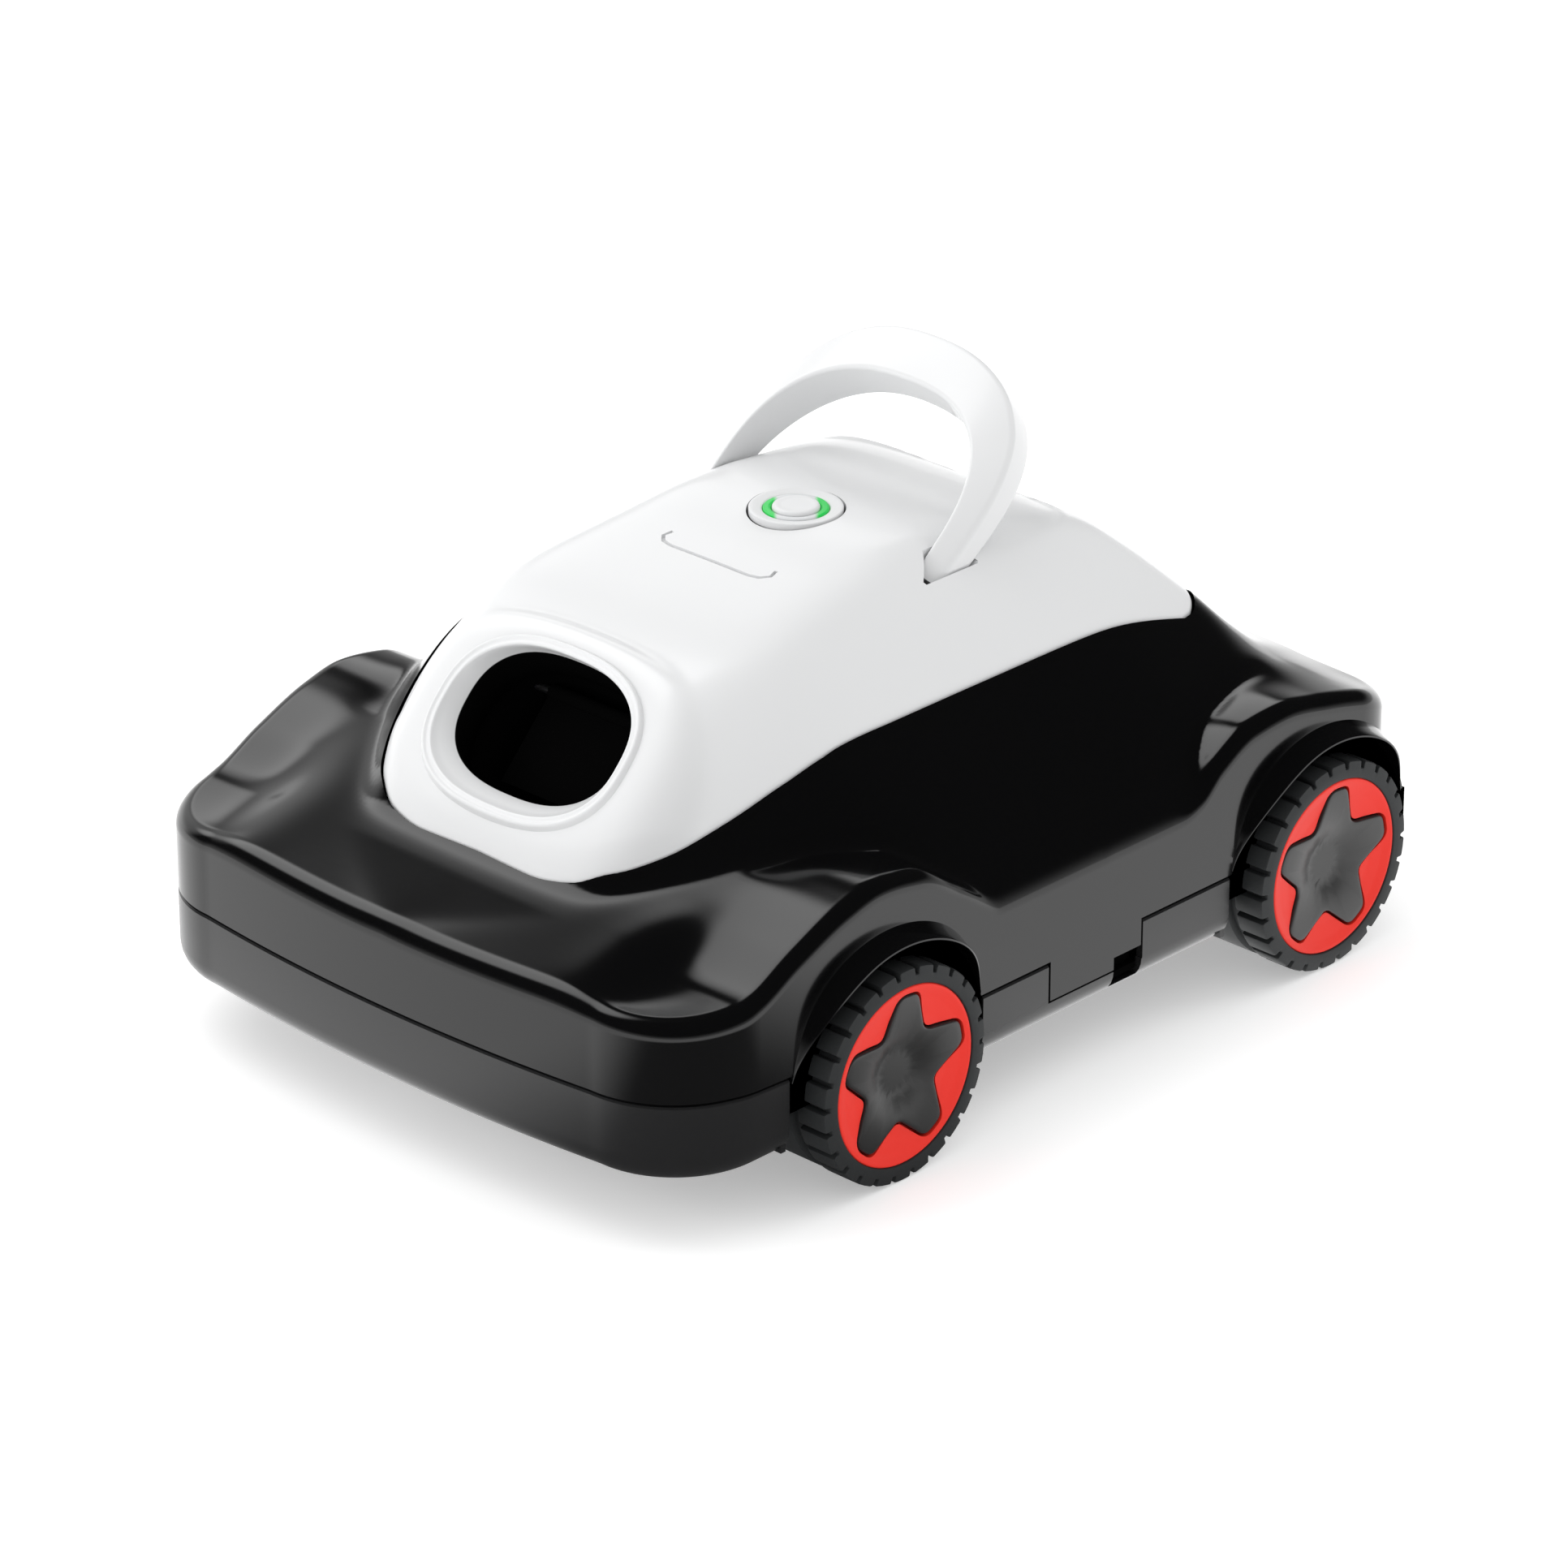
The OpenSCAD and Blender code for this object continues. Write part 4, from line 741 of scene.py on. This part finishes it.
# ---- Carry handle ----
# A fixed white bow that leans back over the button. It is deep at the crown, and its broad
# front face turns outwards down the legs. The feet are screwed into pockets in the cover.
GRIP_H, GRIP_T = 57, 20.8
FOOT_DEPTH, SLANT, SWELL_OUT, SWELL_BACK, GRIP_CORNER = 13, 7, 2.5, 3.5, 2.0
t = np.linspace(0, math.pi, 121)
c, s = np.cos(t), np.sin(t)
inner = np.column_stack([GRIP_W * np.sign(c) * np.abs(c) ** 0.8, GRIP_H * s ** 0.8])
outer = np.column_stack([(GRIP_W + LEG_T) * np.sign(c) * np.abs(c) ** 0.8, (GRIP_H + GRIP_T) * s ** 0.8])
foot = np.zeros_like(inner)
foot[[0, -1], 1] = -FOOT_DEPTH
swell = np.abs(np.sin(2 * t))
outer[:, 0] += SWELL_OUT * swell * np.sign(c)
centre, half = (inner + outer) / 2 + foot, (outer - inner) / 2
slant = SLANT * np.clip(np.abs(c) / 0.8, 0, 1) ** 1.5
thick = np.hypot(half[:, 0], half[:, 1])
corner = np.minimum(GRIP_CORNER, thick * 0.5)
rings = []
for start, right, front in ((0, 1, 1), (90, -1, 1), (180, -1, -1), (270, 1, -1), (360, 1, 1)):
    for turn in np.radians(start + np.linspace(0, 90 if start < 360 else 0, 9 if start < 360 else 1)):
        across = (right * (thick - corner) + corner * math.cos(turn)) / thick
        depth = -GRIP_DEPTH / 2 + front * (GRIP_DEPTH / 2 - corner) + corner * math.sin(turn)
        depth -= slant * (1 + across) / 2 if front > 0 else SWELL_BACK * swell
        rings.append(tilted(centre + half * across[:, None], depth, LEAN, HANDLE_Y, HANDLE_Z))
handle = loft("handle_bow", rings)
close_open_edges(handle)
smooth(handle, 50)
paint(handle, white_abs)
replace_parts(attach(handle, "root"), "carry_handle")

# ---- Control panel, button and light ----
# A round white panel sits in the cover with a thin dark gap round it. The button floats in
# its middle on a spring, inside a green indicator ring. Its glow and green colour are painted only on
# the two sides that lie left and right in the camera's view, a painted glow; the rest of the ring is grey.


def lathe(name, profile, around=96, centre=(0, 0, 0), axis="Z"):
    """Turns a profile of (radius, height) pairs about an axis through a centre."""
    angle = np.linspace(0, 2 * math.pi, around + 1)
    rings = []
    for r, h in profile:
        a, b, level = r * np.cos(angle), r * np.sin(angle), np.full(around + 1, float(h))
        rings.append(np.column_stack((a, b, level) if axis == "Z" else (level, a, b)) + centre)
    piece = loft(name, rings)
    recalculate(piece)
    return piece


def eased(points, radius, steps=5):
    """Rounds the inner corners of an open profile."""
    path = np.array(points, float)
    made = [path[0]]
    for before, corner, after in zip(path[:-2], path[1:-1], path[2:]):
        a, b = before - corner, after - corner
        reach = min(radius, 0.45 * np.hypot(*a), 0.45 * np.hypot(*b))
        a, b = corner + a / np.hypot(*a) * reach, corner + b / np.hypot(*b) * reach
        for t in np.linspace(0, 1, steps):
            made.append(a * (1 - t) ** 2 + 2 * corner * t * (1 - t) + b * t * t)
    return np.array(made + [path[-1]])


PANEL_Z, PANEL_FLOOR = 187.2, 180.4
white_satin = moulded("white_satin_abs", (0.70, 0.705, 0.71), 0.38, grain=700, depth=0.03, drift=0.02)
panel = lathe("panel_disc", eased([(0, 178.4), (14.4, 178.4), (14.4, 184), (PANEL_R - 0.3, 184),
                                   (PANEL_R - 0.3, PANEL_Z), (16.6, PANEL_Z + 0.1), (13.2, PANEL_Z - 0.5),
                                   (12.6, PANEL_Z - 0.9), (12.6, PANEL_FLOOR), (3.1, PANEL_FLOOR),
                                   (3.1, 178.3)], 0.5),
              centre=(0, PANEL_Y, 0))
smooth(panel, 50)
paint(panel, white_satin)
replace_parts(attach(panel, "root"), "control_panel")

button = lathe("button_cap", eased([(0, PANEL_Z + 0.7), (5.5, PANEL_Z + 0.72), (7.2, PANEL_Z + 0.95),
                                    (8.3, PANEL_Z + 0.85), (9, PANEL_Z), (9, PANEL_Z - 3.5), (3, PANEL_Z - 3.5),
                                    (3, PANEL_Z - 13), (0, PANEL_Z - 13)], 0.6), centre=(0, PANEL_Y, 0))
smooth(button, 50)
paint(button, white_satin)
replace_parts(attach(button, "button"), "power_button")

glow = bpy.data.materials.new("green_light_guide")
nodes, links, shader = nodes_of(glow)
shader.inputs["Roughness"].default_value = 0.3
place = nodes.new("ShaderNodeTexCoord")
# Painted glow: the green colour and the glow are masked to the two sides of the ring that lie left and right in the
# camera's view.
along = nodes.new("ShaderNodeVectorMath")
along.operation = "DOT_PRODUCT"
along.inputs[1].default_value = (0.72, 0.69, 0)
middle = nodes.new("ShaderNodeVectorMath")
middle.operation = "SUBTRACT"
middle.inputs[1].default_value = (0, PANEL_Y * MM, 0)
links.new(place.outputs["Object"], middle.inputs[0])
links.new(middle.outputs[0], along.inputs[0])
side_x = nodes.new("ShaderNodeMath")
side_x.operation = "ABSOLUTE"
links.new(along.outputs["Value"], side_x.inputs[0])
lit = add_ramp(glow.node_tree, side_x.outputs[0], 0.0066, 0.0086)
tone = nodes.new("ShaderNodeMix")
tone.data_type = "RGBA"
tone.inputs["A"].default_value = (0.62, 0.63, 0.64, 1)
tone.inputs["B"].default_value = (0.01, 0.42, 0.06, 1)
links.new(lit, tone.inputs["Factor"])
links.new(tone.outputs["Result"], shader.inputs["Base Color"])
shine = nodes.new("ShaderNodeMix")
shine.data_type = "RGBA"
shine.inputs["A"].default_value = (0, 0, 0, 1)
shine.inputs["B"].default_value = (0.0, 0.16, 0.02, 1)
links.new(lit, shine.inputs["Factor"])
links.new(shine.outputs["Result"], shader.inputs["Emission Color"])
shader.inputs["Emission Strength"].default_value = 1.0
ring = lathe("light_guide", eased([(9.4, PANEL_FLOOR), (9.4, PANEL_Z - 0.5), (10.2, PANEL_Z - 0.15),
                                   (11.8, PANEL_Z - 0.15), (12.4, PANEL_Z - 0.5), (12.4, PANEL_FLOOR),
                                   (9.4, PANEL_FLOOR)], 0.4), centre=(0, PANEL_Y, 0))
smooth(ring, 50)
paint(ring, glow)
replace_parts(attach(ring, "root"), "light_ring")

# ---- Base tray ----
# Dark satin lower shell with a rounded bottom edge. Blocks before and behind the side tabs
# carry the latches, and the wheel wells and the belly's intakes are cut through it.
satin_black = moulded("satin_black_abs", (0.012, 0.012, 0.0125), 0.26, grain=420, depth=0.03, patchiness=0.08)
BELLY_Z, BOTTOM_R, PART_GAP = 26, 9.5, 1.0


def outline_ring(count):
    """Evenly spaced points of the body's outline, and the way out at each."""
    x = HALF_W * np.sin(np.linspace(-1, 1, 2000) * math.pi / 2)
    loop = np.concatenate([np.column_stack([x, bow_edge(x)]), np.column_stack([x[::-1], stern_edge(x[::-1])])])
    gone = np.concatenate([[0], np.cumsum(np.hypot(*np.diff(np.vstack([loop, loop[:1]]), axis=0).T))])
    at = np.linspace(0, gone[-1], count, endpoint=False)
    closed = np.vstack([loop, loop[:1]])
    ring = np.column_stack([np.interp(at, gone, closed[:, i]) for i in (0, 1)])
    way = np.roll(ring, -1, axis=0) - np.roll(ring, 1, axis=0)
    way /= np.hypot(way[:, 0], way[:, 1])[:, None]
    return ring, np.column_stack([way[:, 1], -way[:, 0]])


def part_z(y):
    return np.interp(y, [a for a, _ in PART_LINE], [b for _, b in PART_LINE])


ring_points, outwards = outline_ring(440)
rings = []
for inset, drop in ((1.6, 0), (0.5, 0.15), (0, 0.9)):
    at = ring_points - outwards * inset
    rings.append(np.column_stack([at, part_z(ring_points[:, 1]) - PART_GAP - drop]))
rings.append(np.column_stack([ring_points, np.full(len(ring_points), BELLY_Z + BOTTOM_R + 1.0)]))
for a in np.radians([15, 30, 45, 60, 75, 90]):
    at = ring_points - outwards * BOTTOM_R * (1 - math.cos(a))
    rings.append(np.column_stack([at, np.full(len(at), BELLY_Z + (BOTTOM_R + 1) * (1 - math.sin(a)))]))
rings = [np.vstack([r, r[:1]]) for r in rings]
tray = loft("tray_body", rings)
recalculate(tray)
in_edit_mode(tray, lambda: bpy.ops.mesh.select_mode(type="EDGE"),
             lambda: bpy.ops.mesh.select_all(action="DESELECT"))
low = read_points(tray)[:, 2] < (BELLY_Z + 0.01) * MM
for vert in tray.data.vertices:
    vert.select = bool(low[vert.index])
for edge in tray.data.edges:
    edge.select = all(low[i] for i in edge.vertices)
in_edit_mode(tray, bpy.ops.mesh.edge_face_add, lambda: bpy.ops.mesh.select_mode(type="VERT"),
             lambda: bpy.ops.mesh.select_all(action="SELECT"),
             lambda: bpy.ops.mesh.normals_make_consistent(inside=False))
modify(tray, "SOLIDIFY", thickness=3 * MM, offset=-1)
INTAKES, INTAKE_W, INTAKE_L = (-22, 48), 7, 34
ROLLER_Y = -179
for wheel_y in (FRONT_Y, REAR_Y):
    for x in ((WELL_X, OUTSIDE), (-OUTSIDE, -WELL_X)):
        cut(tray, prism("arch", box_outline(x, (wheel_y - ARCH_R, wheel_y + ARCH_R)), 5, 70))
for x in ((HALF_W - TAB_T, OUTSIDE), (-OUTSIDE, TAB_T - HALF_W)):
    cut(tray, prism("tab_gap", box_outline(x, (TAB_Y[0] - PART_GAP, TAB_Y[1] + PART_GAP)), TAB_Z - 0.8, 70))
for x in ((HALF_W - NOTCH_T - 2, OUTSIDE), (-OUTSIDE, NOTCH_T + 2 - HALF_W)):
    cut(tray, prism("finger_notch", box_outline(x, NOTCH_Y), BELLY_Z + 3, 60))
for y in INTAKES:
    cut(tray, prism("intake", box_outline((-INTAKE_L, INTAKE_L), (y - INTAKE_W, y + INTAKE_W)), 20, 40))
cut(tray, prism("roller_gap", box_outline((-24, 24), (ROLLER_Y - 8.5, ROLLER_Y + 8.5)), 20, 40))
extras = [prism("stand_pad", box_outline((-40, 40), (-10, 36)), 25.4, 27.5)]
for y in INTAKES:
    throat = prism("throat", box_outline((-INTAKE_L - 2, INTAKE_L + 2), (y - INTAKE_W - 2, y + INTAKE_W + 2)),
                   BELLY_Z + 1, BELLY_Z + 7)
    cut(throat, prism("hole", box_outline((-INTAKE_L, INTAKE_L), (y - INTAKE_W, y + INTAKE_W)), 20, 40))
    extras.append(throat)
for wheel_y in (FRONT_Y, REAR_Y):
    reach = ARCH_R + LINER_T
    liner = prism("well", box_outline((WELL_X - LINER_T, HALF_W - 2), (wheel_y - reach, wheel_y + reach)), 27, 52)
    cut(liner, prism("space", box_outline((WELL_X, HALF_W + 9), (wheel_y - ARCH_R, wheel_y + ARCH_R)), 5, 70))
    cut(liner, prism("axle_slot", box_outline((WELL_X - 5, WELL_X + 5), (wheel_y - 8, wheel_y + 8)), 34, 70))
    extras += [liner, mirror_copy(liner)]
join(tray, *extras)
smooth(tray)
paint(tray, satin_black)
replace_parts(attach(tray, "root"), "base_tray")

# ---- Tyres ----
# Slate-grey rubber rings pressed over the rims: a smooth side wall, one row of 26 blocks
# round the outer edge, a plain channel, and a smooth inner band.
WHEEL_X, HALF_T, RIM_R = 128, 23, 35
LUGS, LUG_DEPTH = 26, 2.9
rubber = moulded("tyre_rubber", (0.024, 0.026, 0.027), 0.62, grain=1500, depth=0.25, patchiness=0.12, specular=0.3)


def to_wheels(piece, name, node):
    """Copies a right-hand front piece to all four wheels, each with its own mesh."""
    for end, y, rider in (("front", FRONT_Y, None), ("rear", REAR_Y, "rear_drive")):
        for side in ("right", "left"):
            made = piece.copy() if side == "right" else mirror_copy(piece)
            if side == "right":
                made.data = piece.data.copy()
                bpy.context.collection.objects.link(made)
            made.name = made.data.name = f"{name}_{end}_{side}"
            write_points(made, read_points(made) + np.array((0, y, TYRE_R)) * MM)
            body = rider or f"wheel_front_{side}"
            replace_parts(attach(made, body), f"{node}_{end}_{side}")
    bpy.data.objects.remove(piece)


steps = np.array([0.0, 0.02, 0.045, 0.09, 0.40, 0.73, 0.775, 0.80, 0.82, 0.91])
tall = np.array([0.0, 0.6, 0.92, 1.0, 1.0, 1.0, 0.92, 0.6, 0.0, 0.0])
turns = np.concatenate([(i + steps) / LUGS for i in range(LUGS)] + [[1.0]]) * 2 * math.pi
block = np.concatenate([tall] * LUGS + [[0.0]])
TREAD = [(RIM_R, 21.5, 0), (RIM_R, 22.6, 0), (35.3, HALF_T, 0), (36.0, 23.15, 0), (38.2, 23.1, 0),
         (38.8, 22.95, 0.25),
         (39.0, 22.6, 0.9), (39.1, 21.9, 1.0), (39.1, 16, 1.0), (39.1, 10.2, 1.0), (39.1, 9.4, 0.85), (39.1, 9.0, 0),
         (39.1, 5.0, 0), (40.8, 4.6, 0), (41.4, 4.1, 0), (41.5, 3.0, 0), (41.5, -18.5, 0), (41.0, -20, 0),
         (39.3, -21.5, 0), (38, -HALF_T, 0), (35.6, -HALF_T, 0), (RIM_R, -22.4, 0), (RIM_R, 21.5, 0)]
rings = []
for r, h, share in TREAD:
    radius = r + LUG_DEPTH * share * block
    rings.append(np.column_stack([np.full(len(turns), WHEEL_X + h), radius * np.cos(turns), radius * np.sin(turns)]))
tyre = loft("tyre", rings)
recalculate(tyre)
smooth(tyre, 38)
paint(tyre, rubber)
to_wheels(tyre, "tyre", "tyre")

# ---- Rims ----
# Red polypropylene, dished towards the hub, with a star-shaped recess for the cap.
red = moulded("red_polypropylene", (0.80, 0.030, 0.018), 0.42, grain=600, depth=0.04, patchiness=0.08, specular=0.2)
STAR_TIP, STAR_ROOT, STAR_TURN = 31.5, 18, 5


def rounded_loop(points, radius, steps=6):
    """A closed outline with its corners rounded."""
    path = np.array(points, float)
    made = []
    for i, corner in enumerate(path):
        a, b = path[i - 1] - corner, path[(i + 1) % len(path)] - corner
        reach = min(radius, 0.45 * np.hypot(*a), 0.45 * np.hypot(*b))
        a, b = corner + a / np.hypot(*a) * reach, corner + b / np.hypot(*b) * reach
        made += [a * (1 - t) ** 2 + 2 * corner * t * (1 - t) + b * t * t for t in np.linspace(0, 1, steps)]
    return np.array(made)


def star_loop(grow=0.0):
    corners = []
    for i in range(5):
        for turn, r in ((-36, STAR_ROOT), (-9, STAR_TIP), (9, STAR_TIP)):
            a = math.radians(90 - STAR_TURN + 72 * i + turn)
            corners.append((r * math.cos(a), r * math.sin(a)))
    loop = rounded_loop(corners, 3.4)
    way = np.roll(loop, -1, axis=0) - np.roll(loop, 1, axis=0)
    way /= np.hypot(way[:, 0], way[:, 1])[:, None]
    return loop + grow * np.column_stack([way[:, 1], -way[:, 0]])


rim = lathe("rim", eased([(5, -19), (11, -19), (11, 11), (32, 14), (32, -HALF_T), (RIM_R, -HALF_T), (RIM_R, 22.2),
                          (34.5, 22.75), (33.6, 22.7), (30, 21.6), (24, 20.6), (16, 20.2), (5, 20.2), (5, -19)], 0.8),
            around=160, centre=(WHEEL_X, 0, 0), axis="X")
cut(rim, prism("star_recess", star_loop(0.9), WHEEL_X + 16.3, WHEEL_X + 30, "X"), solver="EXACT")
smooth(rim, 40)
paint(rim, red)
to_wheels(rim, "rim", "rim")

# ---- Star caps ----
# Satin grey plastic stars clipped into the rims. The face dips to a flat boss at the hub and
# its edge is rounded, so that a thin line of light runs round it.
cap_grey = moulded("cap_grey_plastic", (0.020, 0.020, 0.0198), 0.33, grain=500, depth=0.05, patchiness=0.08)


def star_face(r):
    return np.interp(r, [0, 8.8, 9.6, 12, 16, 20, 25, 32], [17.6, 17.6, 17.9, 19.0, 20.5, 21.4, 21.9, 22.1])


rings = []
for shrink, drop in ((0.3, 8), (0.0, 7), (0.0, 1.0), (0.12, 0.45), (0.4, 0.12), (0.85, 0)):
    loop = star_loop(-shrink)
    height = star_face(np.hypot(loop[:, 0], loop[:, 1])) - drop if drop < 2 else np.full(len(loop), 24.0 - drop)
    rings.append(np.column_stack([WHEEL_X + height, loop]))
inner_loop = star_loop(-0.85)
for scale in (0.93, 0.85, 0.77, 0.69, 0.61, 0.53, 0.45, 0.38, 0.31, 0.25, 0.18, 0.1, 0.001):
    loop = inner_loop * scale
    rings.append(np.column_stack([WHEEL_X + star_face(np.hypot(loop[:, 0], loop[:, 1])), loop]))
star = loft("star_cap", [np.vstack([r, r[:1]]) for r in rings])
close_open_edges(star)
smooth(star, 45)
paint(star, cap_grey)
to_wheels(star, "star_cap", "star_cap")

# ---- Parts kept from the frame ----
# Inner works, pins, screws, flaps and latches keep their frame shapes and get finishes of their own, except that the
# outlet duct, outlet flap, port plug and latches get a black with no gloss, which is painted shade.
# Painted shade: a black with no gloss at all, for the parts in the outlet throat, the port and the side notches, so
# that they read as the shade there.
painted_shade_black = moulded("painted_shade_black", (0.0022, 0.0022, 0.0022), 0.9, grain=600, depth=0.1, specular=0.0)
inner_grey = moulded("inner_grey_abs", (0.045, 0.045, 0.047), 0.5, grain=500, depth=0.08)
soft_rubber = moulded("soft_rubber", (0.012, 0.012, 0.012), 0.75, grain=1200, depth=0.2, specular=0.25)
natural = moulded("natural_acetal", (0.72, 0.71, 0.66), 0.42, grain=500, depth=0.05)
turned_steel = moulded("turned_steel", (0.58, 0.58, 0.6), 0.28, grain=1800, depth=0.06, metallic=1.0)
brass_metal = moulded("turned_brass", (0.68, 0.47, 0.18), 0.3, grain=1800, depth=0.06, metallic=1.0)
cell_wrap = moulded("cell_wrap", (0.03, 0.13, 0.4), 0.3, grain=300, depth=0.03)
board_resin = moulded("board_resin", (0.01, 0.12, 0.04), 0.35, grain=800, depth=0.08)
FINISHES = {
    painted_shade_black: ("outlet_duct", "outlet_flap", "port_plug", "latch_left", "latch_right"),
    inner_grey: ("dry_box", "dry_box_lid", "battery_holder", "impeller", "chassis_frame", "belly_roller"),
    soft_rubber: ("box_seal", "shaft_seal", "intake_skirt", "inlet_flap_front", "inlet_flap_rear"),
    natural: ("filter_basket", "axle_gear"),
    turned_steel: ("handle_screws", "flap_pin", "button_spring", "lid_screws", "pump_motor", "pump_shaft",
                   "drive_motor", "rear_axle", "front_axles", "inlet_pins", "filter_screens", "latch_pins",
                   "charge_socket", "shell_screws", "roller_pin"),
    brass_metal: ("motor_pinion", "axle_bushes"),
    cell_wrap: ("battery_cells",),
    board_resin: ("control_board",),
}
for finish, names in FINISHES.items():
    for name in names:
        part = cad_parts[name]
        for place in part.material_slots:
            place.material = finish

low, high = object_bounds()
